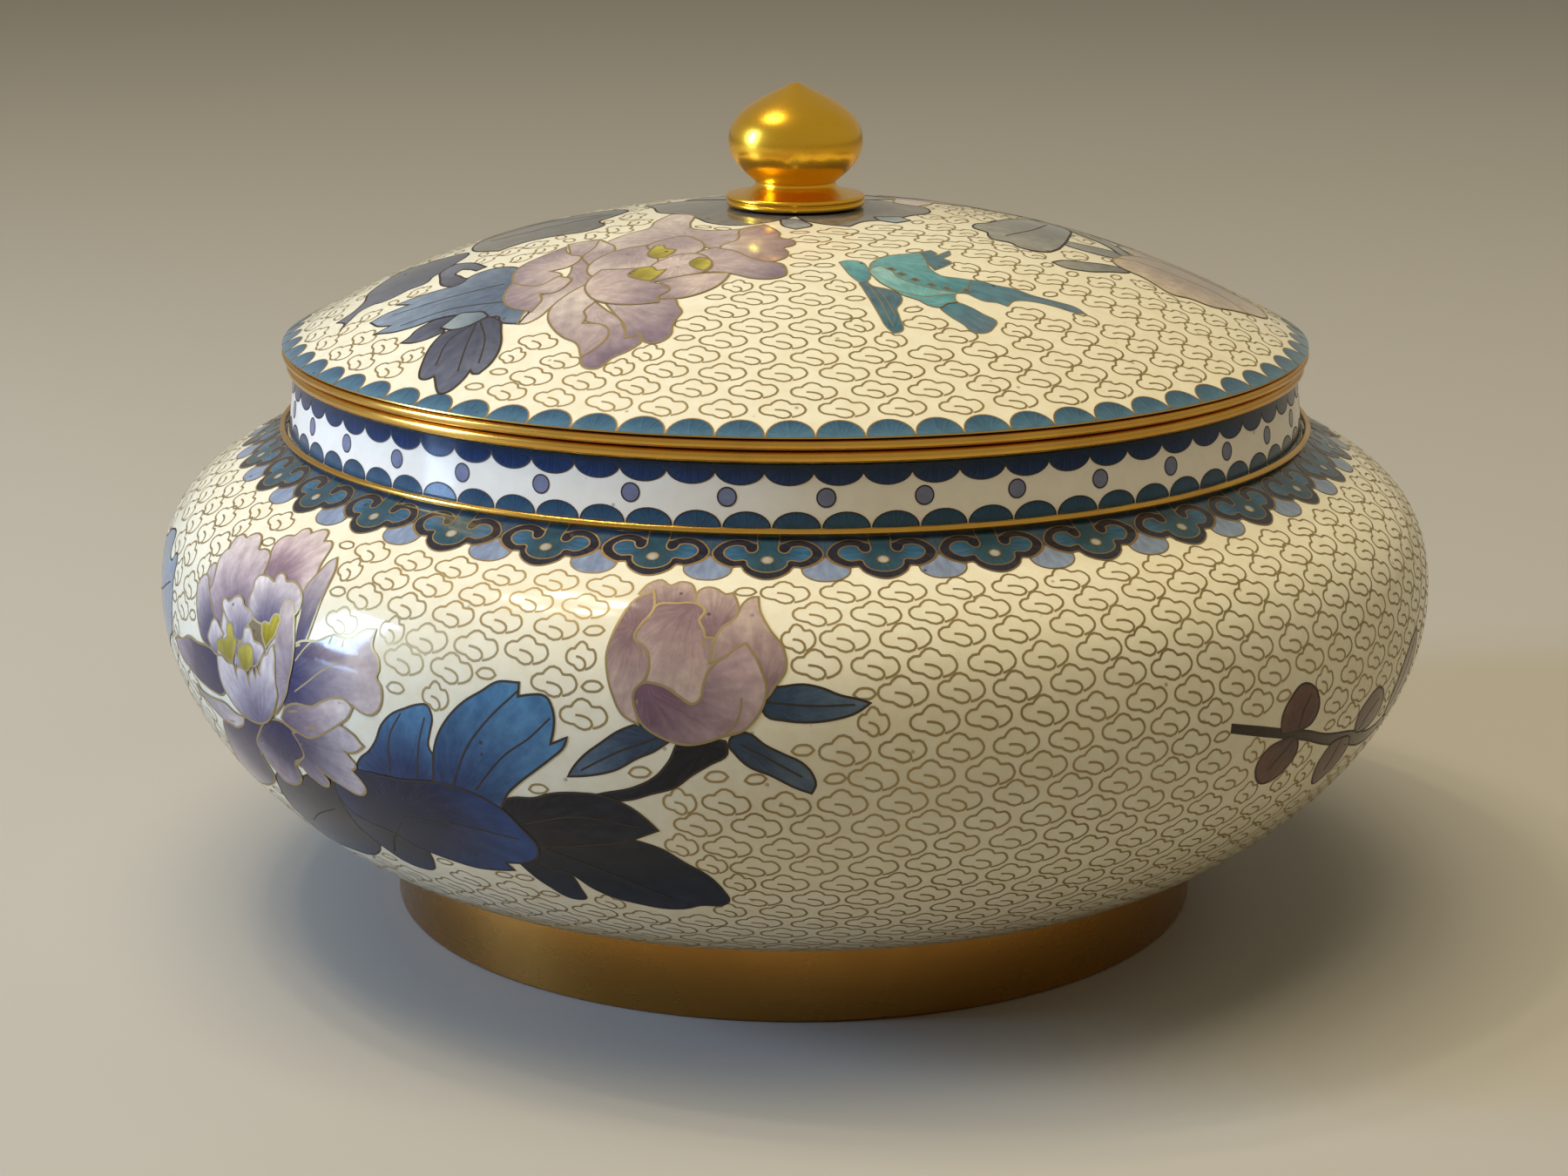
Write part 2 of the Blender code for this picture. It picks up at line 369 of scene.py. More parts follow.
def enamel_material(name, colour, cloud_colour, cloud, scale=260.0, pits=0.5):
    """Opaque enamel of one colour, whose group node is named enamel."""
    material = bpy.data.materials.new(name)
    material.use_nodes = True
    tree = material.node_tree
    shader = tree.nodes["Principled BSDF"]
    shader.inputs["IOR"].default_value = GLAZE_IOR
    fired = tree.nodes.new("ShaderNodeGroup")
    fired.name = "enamel"
    fired.node_tree = ENAMEL
    fired.inputs["Colour"].default_value = colour
    fired.inputs["Cloud colour"].default_value = cloud_colour
    fired.inputs["Cloud amount"].default_value = cloud
    fired.inputs["Cloud scale"].default_value = scale
    fired.inputs["Pit amount"].default_value = pits
    fired.inputs["Gloss"].default_value = GLOSS
    bump = add_node(tree, "ShaderNodeBump", Strength=RIPPLE_STRENGTH, Distance=RIPPLE_DEPTH)
    tree.links.new(fired.outputs["Colour"], shader.inputs["Base Color"])
    tree.links.new(fired.outputs["Roughness"], shader.inputs["Roughness"])
    tree.links.new(fired.outputs["Height"], bump.inputs["Height"])
    tree.links.new(bump.outputs["Normal"], shader.inputs["Normal"])
    return material


GROUND = enamel_material("cream_enamel", paint(232, 225, 200), paint(220, 206, 172), cloud=0.5)
NECK_WHITE = enamel_material("white_enamel", paint(252, 244, 228), paint(238, 228, 208), cloud=0.4)
LINING = enamel_material("sky_blue_enamel", paint(98, 158, 186), paint(78, 136, 170), cloud=0.6, pits=0.8)
print("enamels:", GROUND.name, NECK_WHITE.name, LINING.name)

# %% [markdown]
# The enamel of the small cells is painted: each corner of a cell's mesh carries its own colour, and
# a "flow" that tells how far it is from the root of the petal and at what angle. Noise stretched
# along that flow gives the fine streaks that run from the root of a petal out to its tip.

# %% The painted enamel of the cells
CELLS = enamel_material(
    "cell_enamel", paint(200, 200, 200), paint(180, 180, 180), cloud=0.6, scale=340.0, pits=0.8,
)
tree = CELLS.node_tree
fired = tree.nodes["enamel"]
tint = add_node(tree, "ShaderNodeAttribute", attribute_name="tint")
flow = add_node(tree, "ShaderNodeAttribute", attribute_name="flow")
streaks = add_node(tree, "ShaderNodeTexNoise", Scale=1.0, Detail=3.0, Roughness=0.55)
tree.links.new(flow.outputs["Vector"], streaks.inputs["Vector"])
streaked = remap(tree, streaks.outputs["Fac"], 0.36, 0.66, 0.0, 1.0)
dark_tint = mix_colour(tree, "MULTIPLY", 1.0, tint.outputs["Color"], paint(232, 230, 236))
pale_tint = mix_colour(tree, "ADD", 0.04, tint.outputs["Color"], paint(150, 150, 156))
flowing = mix_colour(tree, "MIX", streaked, dark_tint, pale_tint)
clouded = mix_colour(tree, "MULTIPLY", 1.0, flowing, paint(204, 198, 204))
tree.links.new(flowing, fired.inputs["Colour"])
tree.links.new(clouded, fired.inputs["Cloud colour"])
print("painted enamel:", CELLS.name, "with", len(tree.nodes), "nodes")

# %% [markdown]
# ## Brass
# The bands, the wires and the knob are brass, turned and polished on a lathe. A lathe leaves fine
# lines that run round the piece. Noise that is squeezed along the axis gives the same lines
# without a seam. Handling leaves browner, duller patches, which a second, slow noise adds.


# %% The shared brass group
LATHE_SQUEEZE = (22.0, 22.0, 5200.0)
LINE_DISTANCE = 0.00005


def make_brass_group():
    """The group that gives brass its lathe lines and its tarnished patches."""
    group, start, end = new_group(
        "turned_brass",
        [
            ("Colour", "NodeSocketColor", (0.8, 0.6, 0.2, 1.0)),
            ("Tarnish colour", "NodeSocketColor", (0.4, 0.25, 0.1, 1.0)),
            ("Tarnish", "NodeSocketFloat", 0.4),
            ("Polish", "NodeSocketFloat", 0.2),
        ],
        [
            ("Colour", "NodeSocketColor"),
            ("Roughness", "NodeSocketFloat"),
            ("Height", "NodeSocketFloat"),
        ],
    )
    place = group.nodes.new("ShaderNodeTexCoord").outputs["Object"]
    squeeze = add_node(group, "ShaderNodeMapping")
    squeeze.inputs["Scale"].default_value = LATHE_SQUEEZE
    group.links.new(place, squeeze.inputs["Vector"])
    lines = add_node(group, "ShaderNodeTexNoise", Scale=1.0, Detail=3.0)
    group.links.new(squeeze.outputs[0], lines.inputs["Vector"])
    patches = add_node(group, "ShaderNodeTexNoise", Scale=70.0, Detail=6.0, Roughness=0.6)
    group.links.new(place, patches.inputs["Vector"])

    # Tarnish comes in patches, and follows the lathe lines inside them.
    worn = remap(group, patches.outputs["Fac"], 0.42, 0.68, 0.0, 1.0)
    worn = combine(group, "MULTIPLY", worn, start.outputs["Tarnish"])
    streak = remap(group, lines.outputs["Fac"], 0.35, 0.75, 0.0, 0.3)
    tone = combine(group, "ADD", worn, combine(group, "MULTIPLY", streak, start.outputs["Tarnish"]))
    colour = mix_colour(group, "MIX", tone, start.outputs["Colour"], start.outputs["Tarnish colour"])
    group.links.new(colour, end.inputs["Colour"])

    # Tarnished brass is duller, and the lines scatter the light a little.
    rough = combine(group, "ADD", start.outputs["Polish"], combine(group, "MULTIPLY", worn, 0.25))
    rough = combine(group, "ADD", rough, combine(group, "MULTIPLY", streak, 0.05))
    group.links.new(rough, end.inputs["Roughness"])
    group.links.new(lines.outputs["Fac"], end.inputs["Height"])
    return group


BRASS = make_brass_group()
print("shared brass group with", len(BRASS.nodes), "nodes")


# %% Brass materials
def brass_material(name, colour, tarnish_colour, tarnish, polish, line_depth, metallic=1.0):
    """Turned brass. A smaller polish value shines more, and line_depth is how far the lines show."""
    material = bpy.data.materials.new(name)
    material.use_nodes = True
    tree = material.node_tree
    shader = tree.nodes["Principled BSDF"]
    shader.inputs["Metallic"].default_value = metallic
    turned = tree.nodes.new("ShaderNodeGroup")
    turned.node_tree = BRASS
    turned.inputs["Colour"].default_value = colour
    turned.inputs["Tarnish colour"].default_value = tarnish_colour
    turned.inputs["Tarnish"].default_value = tarnish
    turned.inputs["Polish"].default_value = polish
    bump = add_node(tree, "ShaderNodeBump", Strength=line_depth, Distance=LINE_DISTANCE)
    tree.links.new(turned.outputs["Colour"], shader.inputs["Base Color"])
    tree.links.new(turned.outputs["Roughness"], shader.inputs["Roughness"])
    tree.links.new(turned.outputs["Height"], bump.inputs["Height"])
    tree.links.new(bump.outputs["Normal"], shader.inputs["Normal"])
    return material


BAND_BRASS = brass_material("polished_brass", paint(226, 176, 80), paint(166, 108, 42), 0.3, 0.2, 0.05)
FOOT_BRASS = brass_material("brushed_brass", paint(172, 124, 58), paint(128, 82, 36), 0.2, 0.26, 0.12)
KNOB_GILT = brass_material("gilt", paint(248, 192, 58), paint(206, 144, 40), 0.15, 0.25, 0.0)
print("brasses:", BAND_BRASS.name, FOOT_BRASS.name, KNOB_GILT.name)

# %% [markdown]
# The wires are ground flush with the enamel, and part of their colour is their own tarnish. Their
# colours are also darker and less metallic than the bands, so they shine less: painted dark reflection of the
# dim room they mirror, darkest round the leaves.

# %% Three wire colours, darkened as painted reflection
# Painted dark reflection: each wire colour is darker and less metallic than the bands, for the dim room it
# mirrors, and the second is darkest.
CLOUD_WIRE = brass_material("cloud_wire", paint(162, 141, 95), paint(126, 105, 66), 0.5, 0.42, 0.1, 0.5)
DARK_WIRE = brass_material("painted_dark_wire", paint(62, 50, 38), paint(38, 30, 24), 0.5, 0.46, 0.1, 0.4)
BORDER_WIRE = brass_material("bright_wire", paint(160, 130, 80), paint(114, 90, 54), 0.5, 0.38, 0.1, 0.6)
print("wires:", CLOUD_WIRE.name, DARK_WIRE.name, BORDER_WIRE.name)

# %% [markdown]
# ## Turned pieces
# A lathe piece is an outline spun about the axis. One spin for each finish keeps a material's edge
# exactly on a line of the section, and welding the spins makes one closed body.


# %% Spin outlines into a piece
def finish_piece(name, bm, materials, node=None, slot=None, smooth_angle=None):
    """Turn a bmesh into an object at the origin that rides on the pot, and hide the node it replaces."""
    mesh = bpy.data.meshes.new(name)
    bm.to_mesh(mesh)
    bm.free()
    for material in materials:
        mesh.materials.append(material)
    mesh.shade_smooth()
    if smooth_angle is not None:
        mesh.set_sharp_from_angle(angle=smooth_angle)
    piece = bpy.data.objects.new(name, mesh)
    bpy.context.scene.collection.objects.link(piece)
    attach(piece, "root")
    if node:
        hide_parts(node)
    print(name, len(mesh.polygons), "faces")


TURN_STEPS = 256
EDGE_STEPS = 6
WELD = 0.002
SHARP_ANGLE = math.radians(40.0)


def turn(name, lines, materials, node, slot, steps=TURN_STEPS):
    """Spin joined lines of (radius, height) about the axis, each with the material of its number."""
    bm = bmesh.new()
    for number, line in enumerate(lines):
        verts = [bm.verts.new((radius * MM, 0.0, height * MM)) for radius, height in line]
        edges = [bm.edges.new(pair) for pair in zip(verts, verts[1:])]
        before = set(bm.faces)
        bmesh.ops.spin(
            bm, geom=verts + edges, cent=(0, 0, 0), axis=(0, 0, 1),
            angle=math.tau, steps=steps, use_merge=True,
        )
        for face in bm.faces:
            if face not in before:
                face.material_index = number
    bmesh.ops.remove_doubles(bm, verts=bm.verts[:], dist=WELD * MM)
    bmesh.ops.recalc_face_normals(bm, faces=bm.faces[:])
    finish_piece(name, bm, materials, node, slot, SHARP_ANGLE)


def arc(centre, radius, start, end, steps):
    """Points of an arc about a centre, between two angles in degrees."""
    points = []
    for step in range(steps + 1):
        angle = math.radians(start + (end - start) * step / steps)
        points.append((centre[0] + radius * math.cos(angle), centre[1] + radius * math.sin(angle)))
    return points


def rounded_box(inner, outer, bottom, top, edge):
    """A closed section with rounded edges, from the outer top corner round and back to it."""
    points = arc((outer - edge, top - edge), edge, 90, 0, EDGE_STEPS)
    points += arc((outer - edge, bottom + edge), edge, 0, -90, EDGE_STEPS)
    points += arc((inner + edge, bottom + edge), edge, -90, -180, EDGE_STEPS)
    points += arc((inner + edge, top - edge), edge, 180, 90, EDGE_STEPS)
    return points + points[:1]


# %% The bowl: neck, belly, and the blue lining inside and below
outer_line = offset_line(belly_line(), INSET)
neck_line = offset_line([(NECK_RADIUS, MOUTH_Z), (NECK_FOOT_RADIUS, SHOULDER_Z)], INSET)
inner_line = offset_line(belly_line(steps_above=24, steps_below=36), WALL)

# The neck's inset line is carried on to the level where the belly's starts, as they share a corner.
corner_z = outer_line[0][1]
corner = (neck_line[1][0] + (SHOULDER_Z - corner_z) * NECK_SPREAD / (MOUTH_Z - SHOULDER_Z), corner_z)
neck_line[1] = corner
outer_line[0] = corner
lining_line = (
    [outer_line[-1], (0.0, outer_line[-1][1]), (0.0, inner_line[-1][1])]
    + inner_line[::-1]
    + [(NECK_RADIUS - WALL, MOUTH_Z), neck_line[0]]
)
turn(
    "bowl_shell", [neck_line, outer_line, lining_line], [NECK_WHITE, GROUND, LINING],
    "bowl", "bowl_enamel",
)

# %% The lid: cream dome outside, blue lining inside
# Straight down, a sloping wall measures a little more than its thickness.
LID_DROP = 1.08 * WALL
LID_EDGE_INSET = 0.05
SEAT_SHARE = (LID_RADIUS - LID_SEAT) / LID_RADIUS

dome_outer = offset_line(dome_line(64), INSET)
inner_radii = [SEAT_SHARE * radius for radius, height in offset_line(dome_line(40), WALL)]
inner_dome = [(radius, dome_z(radius) - LID_DROP) for radius in inner_radii]
lid_edge = [dome_outer[-1], (LID_RADIUS - LID_EDGE_INSET, LID_Z), (LID_RADIUS - LID_SEAT, LID_Z)]
lid_lining = [lid_edge[-1]] + inner_dome[::-1] + [(0.0, inner_dome[0][1])]
lid_crown = [(0.0, dome_outer[0][1]), dome_outer[0]]
turn(
    "lid_shell", [dome_outer, lid_lining, lid_edge, lid_crown], [GROUND, LINING, BAND_BRASS, GROUND],
    "lid", "lid_enamel",
)

# %% The foot ring and the band on the mouth
FOOT_EDGE = 0.6
RIM_EDGE = 1.0


def turn_band(name, inner, edge, brass, node, slot):
    """A band with rounded edges, from an inner radius out to the box of its node."""
    line = rounded_box(inner, radius_of(node), bottom_of(node), top_of(node), edge)
    turn(name, [line], [brass], node, slot)


turn_band("foot_band", FOOT_RADIUS - FOOT_WALL, FOOT_EDGE, FOOT_BRASS, "foot_ring", "foot_brass")
turn_band("mouth_band", NECK_RADIUS - WALL, RIM_EDGE, BAND_BRASS, "rim_ring", "rim_brass")

# %% The lid's band, with the lip that centres the lid in the mouth
LIP_PLAY = 0.6
LIP_WALL = 1.5
LIP_DEPTH = 4.0
LID_BAND_EDGE = 0.85

lip_radius = NECK_RADIUS - WALL - LIP_PLAY
lip_bottom = bottom_of("lid_ring")
band_bottom = lip_bottom + LIP_DEPTH
band_top = top_of("lid_ring")
edge_radius = LID_RADIUS - LID_BAND_EDGE
lid_band_line = (
    arc((edge_radius, band_top - LID_BAND_EDGE), LID_BAND_EDGE, 90, 0, EDGE_STEPS)
    + arc((edge_radius, band_bottom + LID_BAND_EDGE), LID_BAND_EDGE, 0, -90, EDGE_STEPS)
    + [
        (lip_radius, band_bottom),
        (lip_radius, lip_bottom),
        (lip_radius - LIP_WALL, lip_bottom),
        (lip_radius - LIP_WALL, band_top),
        (edge_radius, band_top),
    ]
)
turn("lid_band", [lid_band_line], [BAND_BRASS], "lid_ring", "lid_brass")

# %% The wire in the corner of neck and shoulder
NECK_WIRE_RADIUS = 0.65

wire_centre = (
    radius_of("neck_wire") - NECK_WIRE_RADIUS,
    0.5 * (bottom_of("neck_wire") + top_of("neck_wire")),
)
wire_section = arc(wire_centre, NECK_WIRE_RADIUS, 0, 360, 14)
turn("neck_band", [wire_section], [BAND_BRASS], "neck_wire", "wire_brass")

# %% [markdown]
# ## The knob
# The knob is one lathe piece: a pointed bulb, a waist and a round plate whose edge has two beads
# with a groove between them. The bulb's two curves meet upright at its widest point, and the tip
# is rounded off, not a needle. The values that end in SPREAD, RISE or FALL are shares that say how
# far a curve leans on its way.

# %% The knob's sizes in millimetres, and how full its curves are
PLATE_HEIGHT = 2.2
FLARE_HEIGHT = 2.3
BULB_UNDERSIDE = 7.8
BULB_CROWN = 11.0
BULB_RADIUS = 13.05
WAIST_RADIUS = 7.7
TIP_RADIUS = 2.3
BEAD_RADIUS = 0.55
TIP_RISE = 0.3
TIP_SLOPE = 60
KNOB_STEPS = 128

TIP_SPREAD = 0.46
TIP_FALL = 0.22
BULB_RISE = 0.56
BULB_FALL = 0.50
WAIST_SPREAD = 0.34
WAIST_RISE = 0.20
FLARE_FALL = 0.45
FLARE_SPREAD = 0.40
FLARE_RISE = 0.15
print("knob", round(top_of("finial") - KNOB_Z, 2), "mm high and", 2 * BULB_RADIUS, "mm across the bulb")


# %% Turn the knob
def knob_line():
    """The knob's outline, from the tip down to the middle of the plate's underside."""
    plate_top = KNOB_Z + PLATE_HEIGHT
    waist_z = plate_top + FLARE_HEIGHT
    bulb_z = waist_z + BULB_UNDERSIDE
    tip_z = bulb_z + BULB_CROWN
    tip = arc((0.0, tip_z + TIP_RISE - TIP_RADIUS), TIP_RADIUS, 90, TIP_SLOPE, 5)
    reach = BULB_RADIUS - tip[-1][0]
    crown = cubic(
        tip[-1],
        (tip[-1][0] + TIP_SPREAD * reach, tip[-1][1] - TIP_FALL * reach),
        (BULB_RADIUS, bulb_z + BULB_RISE * BULB_CROWN),
        (BULB_RADIUS, bulb_z),
        30,
    )
    underside = cubic(
        (BULB_RADIUS, bulb_z),
        (BULB_RADIUS, bulb_z - BULB_FALL * BULB_UNDERSIDE),
        (WAIST_RADIUS + WAIST_SPREAD * (BULB_RADIUS - WAIST_RADIUS), waist_z + WAIST_RISE * BULB_UNDERSIDE),
        (WAIST_RADIUS, waist_z),
        20,
    )
    edge = PLATE_RADIUS - BEAD_RADIUS
    flare = cubic(
        (WAIST_RADIUS, waist_z),
        (WAIST_RADIUS, waist_z - FLARE_FALL * FLARE_HEIGHT),
        (WAIST_RADIUS + FLARE_SPREAD * (edge - WAIST_RADIUS), plate_top + FLARE_RISE * FLARE_HEIGHT),
        (edge, plate_top),
        12,
    )
    beads = arc((edge, plate_top - BEAD_RADIUS), BEAD_RADIUS, 85, -60, 9)
    beads += arc((edge, KNOB_Z + BEAD_RADIUS), BEAD_RADIUS, 60, -90, 9)
    return tip + crown[1:] + underside[1:] + flare[1:] + beads + [(0.0, KNOB_Z)]


turn("knob", [knob_line()], [KNOB_GILT], "finial", "knob_gilt", steps=KNOB_STEPS)

# %% [markdown]
# ## Drawing flat, then wrapping
# Every cell is a closed line, in millimetres on flat paper. Scallops and dots come from formulas,
# and the other outlines go through points that were picked in enlarged views of the photo
# and laid flat. A cell is filled, cut into small tiles so that it can bend, tinted from its root
# to its tips, and then wrapped onto the wall. A wire is a thin strip that follows the same line. On the real pot
# all of this is ground level. Here each layer lies about two hundredths of a millimetre above the
# one under it, which no eye can see, so that no two surfaces fill the same place.


# %% Charts: from flat paper to the wall
def place_round(section, angle, length, lift):
    """The point on a turned wall at an angle (0 is the front) and a length down its section."""
    place, normal = section.at(length)
    radius = place.x + normal.x * (lift - INSET)
    height = place.y + normal.y * (lift - INSET)
    return Vector((radius * math.sin(angle), -radius * math.cos(angle), height)) * MM


def wall_chart(section, degrees, down):
    """Paper laid on the wall about an angle and a length: across to the right, and down."""
    def wrap(across, along, lift):
        length = down + along
        angle = math.radians(degrees) + across / section.radius(length)
        return place_round(section, angle, length, lift)
    return wrap


def lid_chart(degrees):
    """Paper laid flat over the lid, seen from above, turned about the axis."""
    turn_by = math.radians(degrees)

    def wrap(x, y, lift):
        radius = math.hypot(x, y)
        angle = math.atan2(x, -y) + turn_by
        slope = LID_RISE * DOME_POWER * (radius / LID_RADIUS) ** (DOME_POWER - 1.0) / LID_RADIUS
        tilt = math.hypot(1.0, slope)
        shift = lift - INSET
        out = radius + shift * slope / tilt
        height = dome_z(radius) + shift / tilt
        return Vector((out * math.sin(angle), -out * math.cos(angle), height)) * MM
    return wrap


spot = wall_chart(BELLY, 0.0, 50.0)(10.0, 0.0, 0.0)
print("50 mm down the belly and 10 mm to the right:", [round(value / MM, 1) for value in spot])


# %% Smooth lines through a few points
LINE_STEP = 0.9
CORNER = math.radians(72.0)


def smooth(points, closed=True, step=LINE_STEP):
    """A smooth line through points, which keeps a corner wherever the points turn sharply."""
    places = [Vector(point) for point in points]
    count = len(places)
    pulls = []
    for index, place in enumerate(places):
        before = places[index - 1] if closed or index > 0 else place
        after = places[(index + 1) % count] if closed or index < count - 1 else place
        back = place - before
        ahead = after - place
        if back.length == 0 or ahead.length == 0 or back.angle(ahead) > CORNER:
            pulls.append((place - back / 3, place + ahead / 3))
            continue
        along = (back.normalized() * ahead.length + ahead.normalized() * back.length).normalized()
        pulls.append((place - along * back.length / 3, place + along * ahead.length / 3))
    line = []
    for index in range(count if closed else count - 1):
        follow = (index + 1) % count
        steps = max(1, math.ceil((places[follow] - places[index]).length / step))
        curve = interpolate_bezier(
            places[index], pulls[index][1], pulls[follow][0], places[follow], steps + 1
        )
        line += curve[:-1]
    if not closed:
        line.append(places[-1])
    return line


print("points round a square of 9 mm:", len(smooth([(0, 0), (9, 0), (9, 9), (0, 9)])))


# %% Wires
WIRE_WIDTH = 0.42
THIN_WIRE = 0.26
CELL_LIFT = 0.02
LAYER_LIFT = 0.022
WIRE_LIFT = 0.012
MITRE_LIMIT = 0.6

# The place of each wire colour in a piece's list of materials.
TAN, BROWN, BRIGHT = range(3)
WIRE_MATERIALS = [CLOUD_WIRE, DARK_WIRE, BORDER_WIRE]


def add_wire(bm, line, wrap, lift, closed=True, width=WIRE_WIDTH, finish=TAN):
    """A flat strip of wire along a line on paper, wrapped onto the wall."""
    count = len(line)
    steps = count if closed else count - 1
    strip = bmesh.ops.create_grid(bm, x_segments=steps, y_segments=1, size=1.0)["verts"]
    for face in {face for vert in strip for face in vert.link_faces}:
        face.material_index = finish
    for vert in strip:
        index = round((vert.co.x + 1.0) * 0.5 * steps)
        here = line[index % count]
        before = line[index - 1] if closed or index > 0 else here
        after = line[(index + 1) % count] if closed or index < count - 1 else here
        back = (here - before).normalized()
        ahead = (after - here).normalized()
        along = (back + ahead).normalized()
        spread = max(MITRE_LIMIT, along.dot(ahead if ahead.length else back))
        side = Vector((along.y, -along.x)) * (0.5 * width / spread)
        spot = here + side if vert.co.y > 0 else here - side
        vert.co = wrap(spot.x, spot.y, lift)


print("wires are", WIRE_WIDTH, "mm wide, or", THIN_WIRE, "mm where the work is fine")


# %% Cells
TILE = 2.0
ON_THE_CUT = 0.001
AT_THE_ROOT = 0.01
STREAKS_PER_RADIAN = 9.0
STREAK_STRETCH = 0.2
STREAK_SHIFT = 0.7


def fill_cell(line):
    """A flat cell inside a closed line, cut into tiles, as a bmesh of its own."""
    cell = bmesh.new()
    verts = [cell.verts.new((point.x, point.y, 0.0)) for point in line]
    for first, second in zip(verts, verts[1:] + verts[:1]):
        cell.edges.new((first, second))
    bmesh.ops.triangle_fill(cell, edges=cell.edges[:], use_beauty=True)
    for axis in (0, 1):
        low = min(point[axis] for point in line)
        high = max(point[axis] for point in line)
        normal = Vector((1, 0, 0)) if axis == 0 else Vector((0, 1, 0))
        for number in range(math.floor(low / TILE) + 1, math.ceil(high / TILE)):
            bmesh.ops.bisect_plane(
                cell, geom=cell.verts[:] + cell.edges[:] + cell.faces[:],
                dist=ON_THE_CUT, plane_co=normal * (number * TILE), plane_no=normal,
            )
    return cell


def add_cell(bm, line, wrap, lift, tint, root):
    """Fill a line with enamel whose colour is tint(point), and wrap it into a piece."""
    cell = fill_cell(line)
    colours = cell.verts.layers.float_color.new("tint")
    flows = cell.verts.layers.float_vector.new("flow")
    middle = sum(line, Vector((0.0, 0.0))) / len(line) - root
    for vert in cell.verts:
        spot = Vector((vert.co.x, vert.co.y))
        vert[colours] = tint(spot)
        reach = spot - root
        turned = 0.0
        if reach.length > AT_THE_ROOT and middle.length > AT_THE_ROOT:
            turned = math.atan2(middle.cross(reach), middle.dot(reach))
        along = reach.length * STREAK_STRETCH
        vert[flows] = (turned * STREAKS_PER_RADIAN, along, STREAK_SHIFT * line[0].x)
        vert.co = wrap(spot.x, spot.y, lift)
    mesh = bpy.data.meshes.new("cell")
    cell.to_mesh(mesh)
    cell.free()
    bm.from_mesh(mesh)
    bpy.data.meshes.remove(mesh)


# A point inside the pot, which every outer face looks away from.
POT_CENTRE = Vector((0.0, 0.0, 60.0 * MM))


def face_outwards(bm):
    """Turn every face of cells or wires so that it looks away from the pot."""
    bm.normal_update()
    wrong = [
        face for face in bm.faces
        if face.normal.dot(face.calc_center_median() - POT_CENTRE) < 0
    ]
    bmesh.ops.reverse_faces(bm, faces=wrong)


print("tiles of", TILE, "mm")


# %% Cells and wires that belong together
FINE_WELD = 0.0005


class Cladding:
    """A set of cells and wires on one node of the pot, gathered into two pieces."""

    def __init__(self, name, slot):
        self.name = name
        self.slot = slot
        self.cells = bmesh.new()
        self.cells.verts.layers.float_color.new("tint")
        self.cells.verts.layers.float_vector.new("flow")
        self.wires = bmesh.new()

    def cell(self, line, wrap, layer, tint, root=(0.0, 0.0), wire=None, finish=BROWN, width=WIRE_WIDTH):
        """Lay a cell on a layer, with a wire round it, along another line, or none for []."""
        lift = CELL_LIFT + layer * LAYER_LIFT
        add_cell(self.cells, line, wrap, lift, tint, Vector(root))
        if wire is None:
            add_wire(self.wires, line, wrap, lift + WIRE_LIFT, width=width, finish=finish)
        elif wire:
            self.wire(wire, wrap, layer, finish, width)

    def wire(self, line, wrap, layer, finish=BROWN, width=WIRE_WIDTH):
        """Lay a wire along an open line, on top of the cells of a layer."""
        lift = CELL_LIFT + layer * LAYER_LIFT + WIRE_LIFT
        add_wire(self.wires, line, wrap, lift, False, width, finish)

    def finish(self):
        """Make the gathered cells and wires into their two pieces."""
        for kind, bm, materials in (("cells", self.cells, [CELLS]), ("wires", self.wires, WIRE_MATERIALS)):
            bmesh.ops.remove_doubles(bm, verts=bm.verts[:], dist=FINE_WELD * MM)
            face_outwards(bm)
            finish_piece(f"{self.name}_{kind}", bm, materials, slot=self.slot)


def plain(colour):
    """A tint that is one colour all over."""
    return lambda spot: colour


def blend(tones, share):
    """The colour at a share, from 0 to 1, of the way through two or more tones."""
    place = min(1.0, max(0.0, share)) * (len(tones) - 1)
    index = min(int(place), len(tones) - 2)
    past = place - index
    return tuple(low + (high - low) * past for low, high in zip(tones[index], tones[index + 1]))


print("layers are", LAYER_LIFT, "mm apart")


# %% [markdown]
# ## Borders
# Three borders mark the joints of the pot: scallops on the edge of the lid, a white band with
# scallops and dots on the neck, and a collar of cloud-heads on the shoulder. Each is one figure,
# drawn once and repeated round the axis, so it closes exactly.

# %% A scallop, and how its colour fades
SCALLOPS = 74
SCALLOP_STEPS = 14


def scallop(half_width, height, base=0.0):
    """A half-disc that stands on a line, where a base gives it straight sides below the arch."""
    points = [Vector((-half_width, 0.0))] if base else []
    for step in range(SCALLOP_STEPS + 1):
        turned = math.pi * step / SCALLOP_STEPS
        points.append(Vector((-half_width * math.cos(turned), -base - (height - base) * math.sin(turned))))
    if base:
        points.append(Vector((half_width, 0.0)))
    return points


def fade(at_line, at_reach, reach):
    """A tint that goes from one colour on the line to another at a reach above or below it."""
    return lambda spot: blend((at_line, at_reach), abs(spot.y) / reach)


print("points in a scallop:", len(scallop(1.0, 1.0)))


# %% Scallops on the edge of the lid
TEAL = paint(48, 86, 112)
TEAL_LIGHT = paint(80, 120, 140)
LID_SCALLOP_HEIGHT = 4.3
LID_SCALLOP_HALF = 4.12
LID_SCALLOP_PHASE = -0.13

lid_border = Cladding("lid_border", "lid_enamel")
lid_scallop = scallop(LID_SCALLOP_HALF, LID_SCALLOP_HEIGHT)
tint = fade(TEAL_LIGHT, TEAL, LID_SCALLOP_HEIGHT)
for number in range(SCALLOPS):
    wrap = wall_chart(DOME, 360.0 * (number + LID_SCALLOP_PHASE) / SCALLOPS, DOME.total)
    lid_border.cell(lid_scallop, wrap, 1, tint, wire=lid_scallop, finish=BRIGHT, width=THIN_WIRE)
lid_border.finish()
